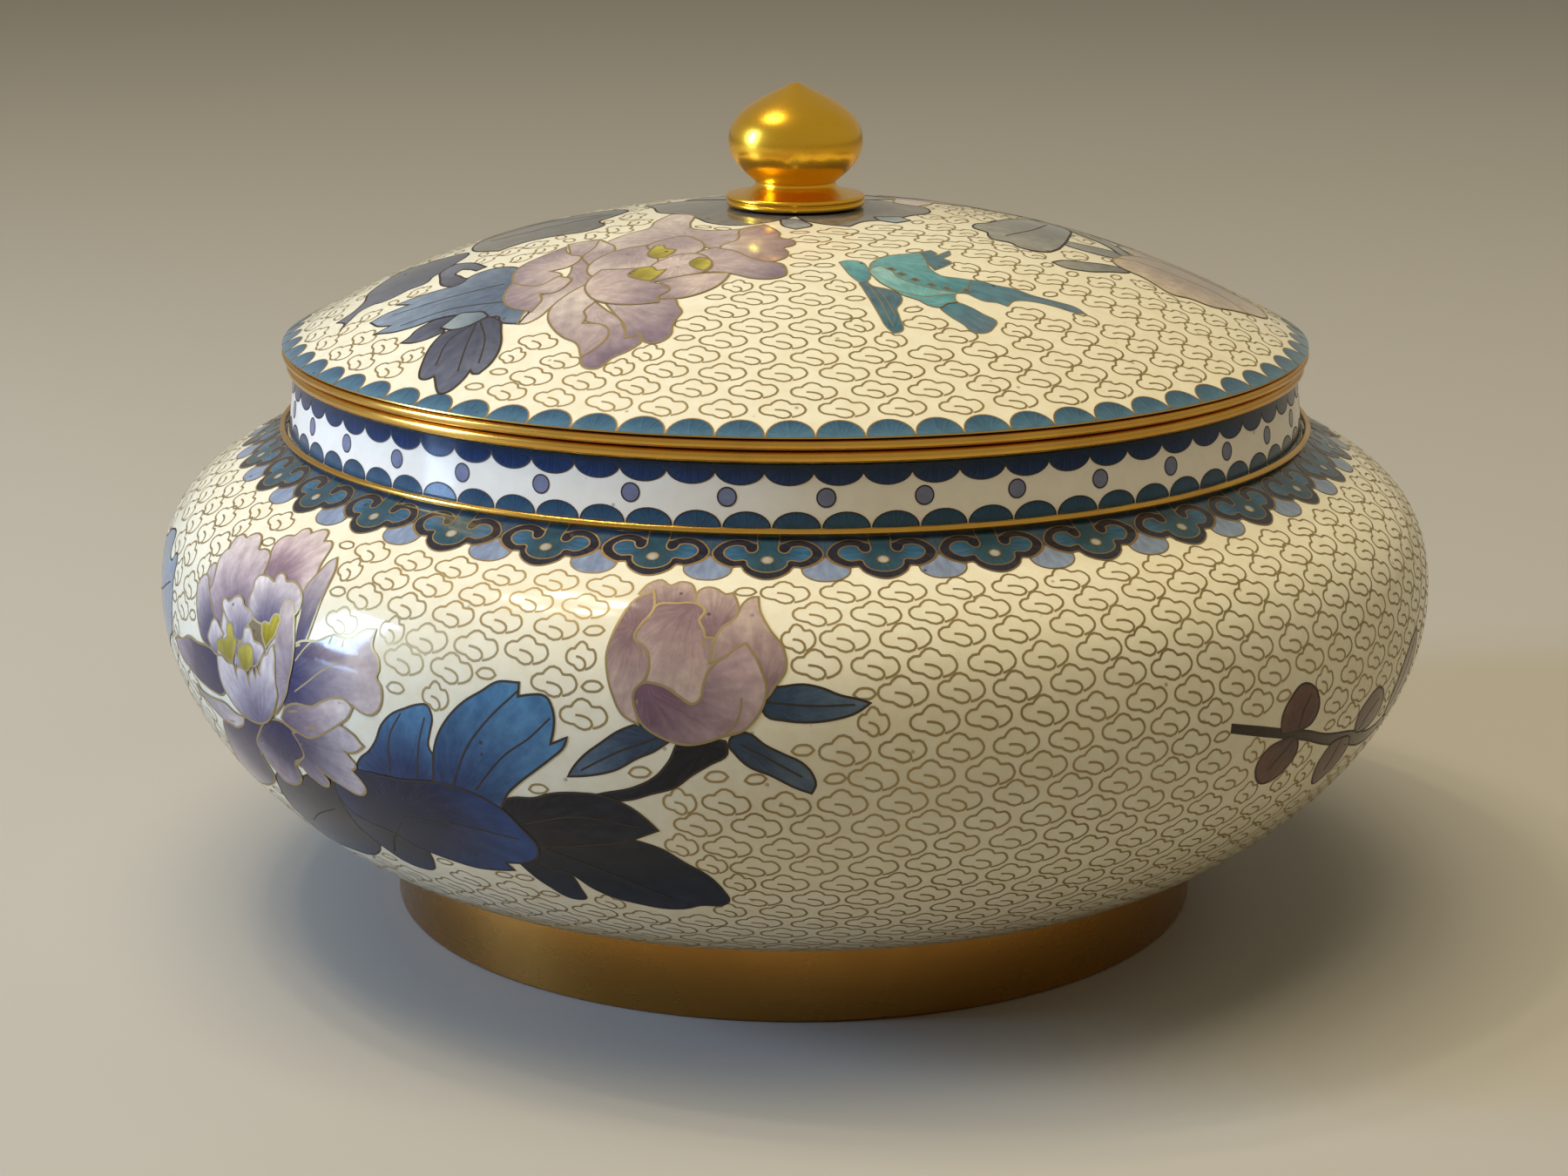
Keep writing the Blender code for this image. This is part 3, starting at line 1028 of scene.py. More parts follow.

# %% The neck's hanging and standing scallops, and the dots between them
# Painted shade: the hanging scallops are painted darker than the standing ones, for the shade under the mouth
# band.
SHADED_NAVY = paint(22, 44, 66)
SHADED_NAVY_LIGHT = paint(34, 64, 112)
HANGING_HEIGHT = 3.4
HANGING_BASE = 0.9
HANGING_PHASE = 0.85
BLUE = paint(36, 76, 104)
BLUE_LIGHT = paint(70, 106, 128)
STANDING_HEIGHT = 3.3
STANDING_BASE = 0.6
STANDING_SHARE = 0.96
STANDING_GAP = 0.3
DOTS = 37
DOT_LILAC = paint(136, 142, 166)
DOT_RADIUS = 1.6
DOT_Z = 102.0
DOT_PHASE = 2.9

neck_border = Cladding("neck_border", "bowl_enamel")
half_pitch = math.pi * NECK_RADIUS / SCALLOPS
hanging = [Vector((point.x, -point.y)) for point in scallop(half_pitch, HANGING_HEIGHT, HANGING_BASE)]
# Painted shade: darkest along the top line, right under the mouth band, and lighter towards the tips.
hanging_shade_tint = fade(SHADED_NAVY, SHADED_NAVY_LIGHT, HANGING_HEIGHT)
standing = scallop(STANDING_SHARE * half_pitch, STANDING_HEIGHT, STANDING_BASE)
standing_tint = fade(BLUE_LIGHT, BLUE, STANDING_HEIGHT)
for number in range(SCALLOPS):
    wrap = wall_chart(NECK, 360.0 * (number + HANGING_PHASE) / SCALLOPS, 0.0)
    neck_border.cell(hanging, wrap, 1, hanging_shade_tint, wire=hanging[1:-1], width=THIN_WIRE)
    wrap = wall_chart(NECK, 360.0 * number / SCALLOPS, NECK.total - STANDING_GAP)
    neck_border.cell(standing, wrap, 1, standing_tint, wire=standing[1:-1], width=THIN_WIRE)
dot = [Vector(point) for point in arc((0.0, 0.0), DOT_RADIUS, 0, 360, 18)[:-1]]
for number in range(DOTS):
    wrap = wall_chart(NECK, DOT_PHASE + 360.0 * number / DOTS, MOUTH_Z - DOT_Z)
    neck_border.cell(dot, wrap, 1, plain(DOT_LILAC), width=THIN_WIRE)
neck_border.finish()

# %% The figures of the collar, drawn flat
CHARCOAL = paint(38, 40, 50)
HEAD_TEAL = paint(44, 78, 90)
HEAD_LOBE = paint(56, 102, 130)
SLATE = paint(62, 86, 102)
LAPPET = paint(138, 154, 176)
CREAM_DOT = paint(168, 168, 156)

HEAD_BAND = [
    (0, 0.4), (2.1, 2.3), (3.2, 1.7), (5, 1.4), (7, 1.9), (8.5, 3.2), (9.3, 4.8), (8.8, 6.3),
    (7.6, 7.4), (5.7, 8.2), (4.4, 8.0), (3.8, 9.1), (2.6, 10.2), (1.2, 10.9), (0, 11.1),
]
HEAD_FIELD = [
    (0, 0.4), (1.9, 0.5), (1.8, 2.6), (1.7, 3.5), (2.1, 4.4), (3.0, 4.6), (3.7, 3.9), (3.9, 3.2),
    (4.8, 2.9), (5.9, 3.0), (7.0, 3.7), (7.4, 4.8), (6.8, 5.9), (5.4, 6.7), (4.0, 6.4),
    (3.5, 6.6), (3.3, 7.6), (2.5, 8.6), (1.3, 9.2), (0, 9.4),
]
LAPPET_SIDE = [(0, 5.6), (1.5, 7.2), (4.1, 8.5), (3.9, 9.6), (2.8, 10.8), (1.4, 11.4), (0, 11.5)]
GAP = [
    (-9.8, 0.2), (9.8, 0.2), (9.8, 2.4), (4.6, 3.2), (2.4, 4.6), (0, 5.9), (-2.4, 4.6), (-4.6, 3.2),
    (-9.8, 2.4),
]
OVAL_DOWN = 6.4
OVAL_SQUASH = 0.9


def both_sides(half):
    """A closed outline from its right half, which starts and ends on the middle line."""
    return half + [(-across, along) for across, along in half[-2:0:-1]]


band_line = smooth(both_sides(HEAD_BAND))
field_line = smooth(both_sides(HEAD_FIELD))
lappet_line = smooth(both_sides(LAPPET_SIDE))
gap_line = [Vector(point) for point in GAP]
circle = arc((0.0, 0.0), 1.0, 0, 360, 12)[:-1]
oval_line = [Vector((across, OVAL_DOWN + OVAL_SQUASH * along)) for across, along in circle]
print("points in a cloud-head:", len(band_line), "outside and", len(field_line), "inside")

# %% Lay the collar of cloud-heads round the shoulder
COLLAR_HEADS = 34
COLLAR_PITCH = 360.0 / COLLAR_HEADS
COLLAR_PHASE = -2.67
HEAD_ROOT = (0.0, 4.0)
LOBE_START = 2.0
LOBE_FADE = 4.0


def head_tint(spot):
    """Teal in the middle of a cloud-head, and bluer out in its two lobes."""
    return blend((HEAD_TEAL, HEAD_LOBE), (abs(spot.x) - LOBE_START) / LOBE_FADE)


# The slate fields between the heads overlap their neighbours, so they take turns on two layers.
collar = Cladding("collar", "bowl_enamel")
thin = {"finish": BRIGHT, "width": THIN_WIRE}
for number in range(COLLAR_HEADS):
    between = wall_chart(BELLY, COLLAR_PHASE + COLLAR_PITCH * (number + 0.5), 0.0)
    collar.cell(gap_line, between, number % 2, plain(SLATE), wire=[])
    collar.cell(lappet_line, between, 2, plain(LAPPET), **thin)
    head = wall_chart(BELLY, COLLAR_PHASE + COLLAR_PITCH * number, 0.0)
    collar.cell(band_line, head, 3, plain(CHARCOAL), **thin)
    collar.cell(field_line, head, 4, head_tint, root=HEAD_ROOT, **thin)
    collar.cell(oval_line, head, 5, plain(CREAM_DOT), **thin)
collar.finish()

# %% [markdown]
# ## Flowers, leaves and the bird
# The picture on the wall is drawn as petals and leaves that touch along their wires. Enamellers
# wet-pack two or three tones into one cell, so each cell has a root point, and its tint changes
# with the distance from it. Most petals are dark at the root and pale at the tip.

# %% Paints: the colours of a cell from its root to its tip
PAINTS = {
    "petal": (paint(108, 90, 106), paint(180, 160, 160), paint(224, 208, 196)),
    "petal_rose": (paint(150, 124, 130), paint(210, 188, 182), paint(222, 204, 192)),
    "petal_pale": (paint(110, 102, 124), paint(186, 174, 176), paint(230, 218, 208)),
    "petal_deep": (paint(28, 24, 74), paint(58, 48, 80), paint(160, 144, 152)),
    "petal_blue": (paint(42, 38, 90), paint(154, 138, 142), paint(212, 194, 184)),
    "petal_grey": (paint(82, 72, 96), paint(158, 146, 150), paint(208, 194, 188)),
    "petal_fold": (paint(154, 138, 140), paint(208, 192, 184)),
    "stamen": (paint(146, 132, 28), paint(196, 182, 62)),
    "stamen_shade": (paint(120, 102, 70), paint(150, 134, 106)),
    "leaf_blue": (paint(24, 50, 92), paint(82, 132, 166)),
    # Partly painted shade: the navy, slate and black leaf paints are darkened for the shade and dark reflections
    # on the lower belly, where most of these leaves lie.
    "leaf_navy": (paint(6, 18, 52), paint(24, 66, 120)),
    "leaf_slate": (paint(12, 15, 34), paint(34, 42, 68)),
    "leaf_black": (paint(6, 8, 20), paint(14, 22, 40)),
    "leaf_grey": (paint(86, 102, 120), paint(136, 154, 168)),
    "leaf_pale": (paint(116, 132, 140), paint(158, 172, 170)),
    "leaf_dusk": (paint(66, 70, 86), paint(104, 108, 120)),
    "leaf_shade": (paint(84, 80, 76), paint(122, 116, 104)),
    "leaf_olive": (paint(108, 108, 98), paint(152, 150, 134)),
    "bud": (paint(140, 112, 112), paint(196, 172, 156)),
    "bud_violet": (paint(116, 86, 98), paint(184, 158, 152)),
    "sepal": (paint(46, 66, 86), paint(94, 116, 134)),
    "twig": (paint(46, 32, 24), paint(60, 42, 34)),
    "russet": (paint(84, 50, 46), paint(116, 78, 70)),
    "lid_petal": (paint(172, 152, 148), paint(222, 206, 188)),
    "lid_mauve": (paint(208, 188, 174), paint(150, 130, 134)),
    "lid_purple": (paint(192, 172, 164), paint(136, 118, 128)),
    "dusky_petal": (paint(162, 142, 124), paint(204, 184, 154)),
    "bird": (paint(104, 168, 168), paint(76, 142, 150)),
    "bird_dark": (paint(70, 112, 124), paint(84, 112, 122)),
    "bird_grey": (paint(74, 128, 142), paint(96, 120, 134)),
    "bird_light": (paint(112, 176, 172), paint(146, 192, 184)),
    "bird_spot": (paint(72, 92, 92), paint(84, 104, 102)),
}
# Cells whose wires take the darkest wire colour, which is painted dark reflection and shade.
DARK_WIRED = ("leaf", "twig", "russet", "sepal")
print(len(PAINTS), "paints")


def faded(paint_name, root, outline):
    """A tint that fades from the root to the far end of an outline."""
    root = Vector(root)
    distances = [(Vector(point) - root).length for point in outline]
    near = min(distances)
    far = max(distances)

    def tint(spot):
        share = min(1.0, max(0.0, ((spot - root).length - near) / (far - near)))
        return blend(PAINTS[paint_name], share * share * (3.0 - 2.0 * share))
    return tint


# %% [markdown]
# A drawing is a list of cells from back to front. A cell goes one layer above whatever it
# overlaps, so petals that only lie side by side share a layer and the picture stays thin. The
# wires round leaves, twigs and sepals take the darkest wire colour, which is painted dark reflection and shade,
# and those round petals are brighter.


# %% Find what overlaps
def inside(point, outline):
    """Whether a flat point is inside a closed outline, by counting crossings."""
    x, y = point
    hit = False
    for (x0, y0), (x1, y1) in zip(outline, outline[1:] + outline[:1]):
        if (y0 > y) != (y1 > y) and x < x0 + (y - y0) * (x1 - x0) / (y1 - y0):
            hit = not hit
    return hit


def box_of(outline):
    """The left, top, right and bottom of an outline."""
    across = [point[0] for point in outline]
    along = [point[1] for point in outline]
    return min(across), min(along), max(across), max(along)


def overlap(first, second):
    """Whether a point of one outline lies inside the other."""
    left, top, right, bottom = box_of(first)
    other_left, other_top, other_right, other_bottom = box_of(second)
    if left > other_right or other_left > right or top > other_bottom or other_top > bottom:
        return False
    return any(inside(point, second) for point in first) or any(inside(point, first) for point in second)


print("a point in the middle of a square is inside:", inside((1, 1), [(0, 0), (2, 0), (2, 2), (0, 2)]))


# %% Lay a drawing on the wall
VEIN_SHARE = 0.75


def draw(cladding, wrap, cells, veins, layer, width=WIRE_WIDTH):
    """Lay a list of (paint, root, outline) cells from a layer up, and then the veins."""
    laid = []
    for paint_name, root, outline in cells:
        line = smooth(outline)
        levels = [level for other, level, finish in laid if overlap(line, other)]
        level = max(levels) + 1 if levels else layer
        finish = BROWN if paint_name.startswith(DARK_WIRED) else TAN
        tint = faded(paint_name, root, outline)
        cladding.cell(line, wrap, level, tint, root, finish=finish, width=width)
        laid.append((line, level, finish))
    for vein in veins:
        line = smooth(vein, closed=False)
        under = [
            (level, finish) for other, level, finish in laid
            if any(inside(point, other) for point in line)
        ]
        level, finish = max(under) if under else (layer, TAN)
        cladding.wire(line, wrap, level, finish, VEIN_SHARE * width)
    print(cladding.name, len(cells), "cells, highest layer", max(level for line, level, finish in laid))


# %% The big peony on the belly: its outer petals
PEONY_OUTER = [
    ("petal_deep", (0, 13), [
        (-18.5, 19.3), (-20.4, 22.3), (-22.5, 25.7), (-25, 29.4), (-26.6, 32.4), (-26.1, 34.4),
        (-24.3, 35.7), (-19.8, 35), (-13.4, 32.8), (-7.8, 29.9), (-5, 27.6), (-4.5, 25.7),
        (-4.6, 24), (-4.9, 22.5), (-2.7, 19.3), (1.2, 15.5), (0.7, 13.5), (-4.2, 14), (-10.8, 16.6)]),
    ("petal_deep", (7, 12), [
        (-4.5, 20.4), (-4, 22.2), (-3.3, 23.6), (-2.4, 24.8), (-1.8, 25.8), (-1.3, 27), (0.6, 27.2),
        (3.3, 26.7), (5.8, 25.3), (7.4, 23.6), (7.6, 22.1), (7.4, 20.8), (8.3, 19.8), (10.4, 18.8),
        (11.8, 17.7), (12.1, 16.2), (12.1, 14.4), (10.5, 12.8), (7.5, 11.8), (2.3, 13.1),
        (-1.3, 16.1)]),
    ("petal_grey", (11, 15), [
        (7.8, 20.7), (9.7, 20.9), (10.3, 21.9), (11.4, 22.6), (12.6, 23.4), (14, 23.8),
        (15.8, 22.9), (16.3, 21.8), (15.7, 20.8), (15, 19.8), (14.3, 19.1), (15.3, 19.8),
        (16.5, 20.6), (18, 21.4), (19.5, 21.9), (20.9, 22.5), (22.3, 23.1), (23.8, 23.1),
        (25.4, 22.3), (26.3, 20.9), (26.1, 19.7), (25.5, 18.7), (24.7, 17.8), (24.6, 17.5),
        (25.8, 16.8), (26.1, 15.9), (25.4, 15.2), (24.8, 14.4), (23.8, 13.6), (25, 13.9),
        (26.8, 13.5), (28.3, 12.6), (29.4, 11.8), (28.5, 11.1), (27.7, 10.1), (26.8, 9.7),
        (25.8, 9.2), (24.8, 8.9), (19.7, 10.2), (13.2, 12.1), (10.5, 13.4), (11.7, 15.4),
        (11.8, 17.7), (10.4, 18.8)]),
    ("petal_fold", (-28, 14), [
        (-28, 13.5), (-25, 14.3), (-21.2, 14.3), (-17.5, 13.9), (-14, 13.5), (-11.9, 13.8),
        (-10.1, 14.4), (-7.7, 14.5), (-6, 14.3), (-6.8, 15.8), (-9.1, 17.2), (-11.6, 18.1),
        (-13.8, 18), (-16.6, 18.1), (-18.7, 17.6), (-21.1, 16.8), (-24.1, 16), (-26.9, 15.2)]),
    ("petal_deep", (-11, 9), [
        (-39, 7.5), (-36, 6.5), (-33.5, 6.2), (-28.4, 4.3), (-23.3, 4.2), (-18.5, 3.7),
        (-13.3, 3.6), (-12.9, 5.1), (-11.8, 7.3), (-11.1, 9.8), (-13, 11.7), (-18, 12.4),
        (-22.3, 12.2), (-25.7, 11.8), (-29.1, 11), (-34, 10.5)]),
    ("petal_rose", (0, -12), [
        (-5.5, -17), (-6.6, -20), (-5.8, -21.5), (-4.6, -22), (-3.6, -22.2), (-3.4, -23.8),
        (-2.2, -24.7), (-0.8, -24.3), (-0.2, -23.8), (0.8, -25), (2.2, -25.7), (3.6, -25.2),
        (4.4, -23.9), (4.9, -23.1), (6.4, -23.6), (7.8, -22.7), (8.6, -21), (9.4, -18.5),
        (10.5, -16), (11, -13.5), (10, -9), (0, -8), (-4, -12)]),
    ("petal_grey", (13, -3), [
        (10.6, -17.5), (10.8, -19.5), (11.7, -20.6), (13.6, -18.4), (14.8, -15), (15.3, -12),
        (15.6, -8), (14.5, -4), (12.5, -3), (12, -5), (11.5, -9), (10, -12)]),
    ("petal", (-8, -2), [
        (-5.3, -17), (-6.5, -17.5), (-8.3, -17.5), (-9.6, -17), (-11, -18.5), (-12.6, -19.6),
        (-14.4, -19.7), (-15.8, -18.9), (-16.3, -18), (-18, -18.3), (-19.6, -17.6), (-20, -16),
        (-19.4, -14.8), (-20.3, -14), (-20.8, -12.5), (-20.3, -10.5), (-19.5, -9), (-21, -4),
        (-19, 1.5), (-13, 2), (-8, -2), (-3, -7), (-3.3, -12), (-4, -15)]),
    ("petal_fold", (-19, -4), [
        (-20.5, -11.2), (-22.3, -10.8), (-23, -9.5), (-22.5, -7.5), (-20.5, -5), (-19.2, -8)]),
    ("petal_grey", (-15, 2), [
        (-22.8, -8.6), (-24.3, -8), (-25.5, -6.5), (-25.2, -4.5), (-24.3, -2.5), (-22.5, 0.5),
        (-20.5, 2.8), (-18, 3.5), (-12, 3.6), (-14, -1), (-17, -4), (-20, -6.5)]),
    ("petal_blue", (10.5, 3), [
        (12, -3), (15, -4.5), (17.5, -4.8), (21, -6.5), (26, -7), (28.5, -9), (30.5, -9.3),
        (31, -6), (32.8, -4.5), (33.4, -2.5), (33, -1.3), (34.2, 0), (34.6, 2), (33.8, 4.3),
        (31.8, 5.6), (29.8, 5.4), (28, 4.6), (22, 5.2), (16, 7.6), (10, 9.4), (9, 7), (11, 2)]),
    ("petal", (7, 13), [
        (8, 11), (10, 8.5), (13, 7.2), (16, 7), (17.5, 6.8), (20, 5.5), (23, 4.2), (26.5, 4),
        (27.8, 5), (26.5, 7), (24, 8.8), (21, 10.6), (18, 12.2), (15, 13.2), (11.5, 12.6),
        (9, 11.8)]),
]
print("outer petals:", len(PEONY_OUTER))

# %% The peony's cup and stamens
PEONY_CUP = [
    ("petal_pale", (0, 8), [
        (-12, -4), (-4, -6), (6, -9), (8, -7), (7.6, 3), (0, 8), (-8, 6), (-13.5, 3.6), (-12, -1)]),
    ("stamen_shade", (0, 0), [
        (-2.6, -4.8), (-1, -6), (2, -5.6), (3.2, -4), (4.4, -1), (1, -0.6), (-1.6, -3)]),
    ("petal_pale", (4, -4), [
        (-2.9, -6.4), (-3.8, -7.9), (-4, -10), (-4.5, -12), (-3.8, -12.8), (-2.7, -13),
        (-1, -13.1), (0.7, -12.6), (1.3, -12.6), (0.9, -13.5), (1.4, -14.4), (3, -14.3),
        (4.2, -13.4), (6.3, -13.7), (8.9, -12.8), (10.6, -11.3), (11, -9.2), (9, -6.9),
        (5.6, -5.6), (1.7, -4.8)]),
    ("petal_pale", (-4, 0), [
        (-12.9, -5.5), (-12.9, -6.1), (-12, -6.5), (-10.8, -6.2), (-9.9, -6.6), (-9, -7.4),
        (-7.6, -7.9), (-6.1, -7.6), (-5.3, -6.8), (-4.1, -6.4), (-2.6, -6.4), (-1.3, -5),
        (-2.6, -3.4), (-3.1, -2.1), (-3.8, -0.6), (-5.3, -0.3), (-7.2, -1.5), (-9.5, -2.7),
        (-11, -3.8)]),
    ("petal_pale", (-12, 8), [
        (-16.8, 0.2), (-16.2, -1.2), (-15.3, -2), (-14.2, -2.1), (-13.2, -1.5), (-12, -0.9),
        (-10.8, -0.3), (-11.7, 1), (-13.1, 2.6), (-13.1, 4.2), (-15.1, 3.9), (-16.2, 3),
        (-17.5, 1.7)]),
    ("petal_fold", (12, 3), [
        (6.6, -10.1), (7.8, -10.2), (9.2, -9.7), (10.3, -8.3), (11.3, -6.1), (12.1, -3.9),
        (12.4, -1.7), (12.2, 0.7), (11.5, 3.1), (10.7, 5.7), (9, 8.1), (6.2, 10.7), (7.4, 8.5),
        (8, 6.3), (7.4, 4), (7.1, 1.7), (7.2, -0.6), (7, -2.9), (6.8, -5.2), (6.5, -7.5),
        (6.4, -8.8)]),
    ("petal_pale", (-3, 8), [
        (-3.3, -2.8), (-2.5, -3.3), (-1.7, -3.5), (-0.5, -2.6), (0.3, -1.5), (1.8, -1.4),
        (3.3, -1.1), (3.9, -0.4), (3.2, 0.7), (2.4, 1.9), (0.7, 3.1), (-2.9, 2.3), (-5.4, 2.4),
        (-6.1, 1.6), (-5.5, 0.5), (-4, -0.1), (-3.3, -1.5)]),
    ("stamen", (-9, 5), [
        (-9.5, -2.4), (-8.2, -2.8), (-7.3, -1.9), (-6.7, -0.5), (-5.6, -0.2), (-5.8, 1.4),
        (-6.4, 2.6), (-6.8, 4), (-8.1, 4), (-9.2, 3.9), (-10.5, 3.6), (-11.6, 3.2), (-13.1, 2.6),
        (-13.1, 1.6), (-12.1, 0.9), (-10.3, 0.7), (-9, -0.3), (-9.6, -1.4)]),
    ("stamen", (-2, 5), [
        (-4.5, 0.9), (-3.3, 0.2), (-1.6, -0.5), (0, -0.2), (0.4, 1.1), (0.4, 2.4), (-0.5, 3.5),
        (-1.7, 4.4), (-2.9, 4.4), (-3.8, 3.6), (-4.5, 2.7), (-4.8, 1.6)]),
    ("stamen", (4, 0), [
        (2, -4.9), (2.9, -5.4), (4.3, -5.3), (4.5, -6.3), (5.1, -7.2), (6.4, -7.3), (7.3, -6.6),
        (6.9, -5.6), (6.8, -4.4), (6.3, -3.4), (5.3, -2.3), (4.4, -1.1), (3.3, -2.2),
        (2.5, -3.4)]),
    ("petal_pale", (1, 15), [
        (-13.1, 4.2), (-10.9, 3.8), (-9.9, 4.2), (-8.8, 4.5), (-7.5, 4.3), (-6.5, 4.4),
        (-5.9, 5.9), (-4.8, 4.4), (-3.2, 4.3), (-2, 4.7), (-1.3, 6.6), (-0.5, 4.3), (0.4, 3.6),
        (1.2, 5.2), (1.6, 3.1), (2.4, 4), (3, 2.1), (3.8, 0.5), (5.1, -0.2), (5.7, -1.4),
        (6.4, -2), (7.3, 0.1), (7.4, 2.4), (7.6, 4.7), (8, 6.6), (7.1, 8.6), (5.7, 10.7),
        (3.7, 12.5), (0.8, 13.8), (-2.1, 14.2), (-5.4, 13.8), (-7.9, 12.9), (-9.9, 11.4),
        (-11.8, 9.8), (-12.6, 7.9)]),
]
PEONY = PEONY_OUTER + PEONY_CUP
PEONY_VEINS = [
    [(24, -2.3), (20, 0), (16.5, 2.6), (13, 5)],
    [(17, -5), (15, -3), (13, -0.5)],
    [(21.5, -7), (21, -5)],
    [(24.3, -6.5), (24.2, -5)],
    [(-3.9, 21.5), (-1, 23.5), (1.5, 25.6)],
    [(-5.8, 4.1), (-5.6, 5.3), (-5.4, 6.8)],
    [(-1.7, 4.6), (-1.2, 5.9), (-0.8, 7.3)],
    [(2.2, 2.5), (2.5, 3.5), (3, 4.3)],
]
print("the peony has", len(PEONY), "cells and", len(PEONY_VEINS), "veins")

# %% Leaves under the peony
LEAVES = [
    ("leaf_slate", (-36, 12), [
        (-57, 12), (-50, 11), (-44, 8), (-38, 7), (-33, 12), (-32, 20), (-35, 27), (-40, 31),
        (-48, 33), (-56, 34), (-60, 28), (-60, 18)]),
    ("leaf_slate", (-24, 16), [
        (-38, 12), (-36, 20), (-32, 25), (-29, 28), (-25, 29), (-22, 28), (-20.5, 25), (-20, 20),
        (-26, 10)]),
    ("leaf_black", (0, 14), [
        (-1, 17), (3, 25), (7, 29), (9, 28.5), (9.5, 25), (8, 18)]),
    ("leaf_black", (4, 12), [
        (0, 8), (9, 8), (23, 9), (28, 11), (31, 14), (34, 17), (35.5, 21), (35.5, 25), (34, 26.5),
        (30, 27), (27, 28.5), (23, 29), (19, 28), (15, 26.5), (12, 24), (9, 20), (4, 19)]),
    ("leaf_black", (2, 8), [
        (0, 4), (3, 2.5), (7, 2), (10, 0.8), (15, 0), (20, 0.2), (24, 2), (27, 5), (28, 6.5),
        (26, 7.5), (23, 9), (12, 12), (2, 14)]),
    ("leaf_blue", (-20, 6), [
        (-30, 3), (-28.5, 0.5), (-26, -1.5), (-24, -4), (-22.5, -7), (-20, -9.5), (-17, -11),
        (-14.5, -12), (-12.5, -12.2), (-11.5, -10.5), (-12, -7.5), (-12.5, -5), (-11.5, -3),
        (-12, 6), (-24, 10)]),
    ("leaf_blue", (-10, 6), [
        (-12, -1), (-10.5, -7), (-8, -11), (-5, -14), (-2, -16), (1, -18), (5, -18.3), (5, -16),
        (7, -16.5), (10, -16.5), (11.5, -14), (11.5, -10.5), (11, -8.5), (14, -10), (13.5, -8.5),
        (11, -6), (8, -3.5), (5, -1), (2, 2), (0, 5.5), (-6, 8), (-12, 6)]),
    ("leaf_navy", (-22, 10), [
        (-37.5, 8.5), (-35, 4.5), (-31, 3.5), (-20, 3), (-10, 2), (-3, 3.5), (1, 6), (3, 9),
        (5, 13), (4, 16.5), (1, 18.5), (-3, 19.5), (-2, 21.5), (-6, 22.5), (-10, 23), (-16, 22),
        (-20, 21), (-26, 18), (-37, 13)]),
]
LEAF_VEINS = [
    [(-54, 25), (-48, 20), (-41, 16)],
    [(-30, 25), (-27, 19), (-23, 14)],
    [(-18, -10), (-20.5, -6), (-22, 3)],
    [(-13, -10), (-14.5, -5), (-16, 2)],
    [(5, -17), (0, -12), (-4, -7), (-9, 3)],
    [(11, -13), (7, -9), (3, -6), (-4, 2)],
    [(2, 12), (-8, 11), (-22, 12)],
    [(26, 25), (16, 18), (5, 13)],
    [(25, 6), (14, 5), (4, 8)],
]
FAR_LEAF = [
    ("leaf_grey", (-28, 6), [
        (1, -9), (8, -9), (10, -6), (13, -5.5), (15, -7.5), (17, -7), (18.5, -3), (19.5, 3),
        (18.5, 7), (15, 9), (10, 12), (0, 15), (-8, 15), (-15, 13.5), (-20, 11), (-28, 9),
        (-30, 4), (-28, 0), (-15, -4), (-5, -6)]),
]
FAR_LEAF_VEINS = [[(16, -2), (2, 3), (-14, 5), (-28, 4)]]
print("leaves:", len(LEAVES) + len(FAR_LEAF))

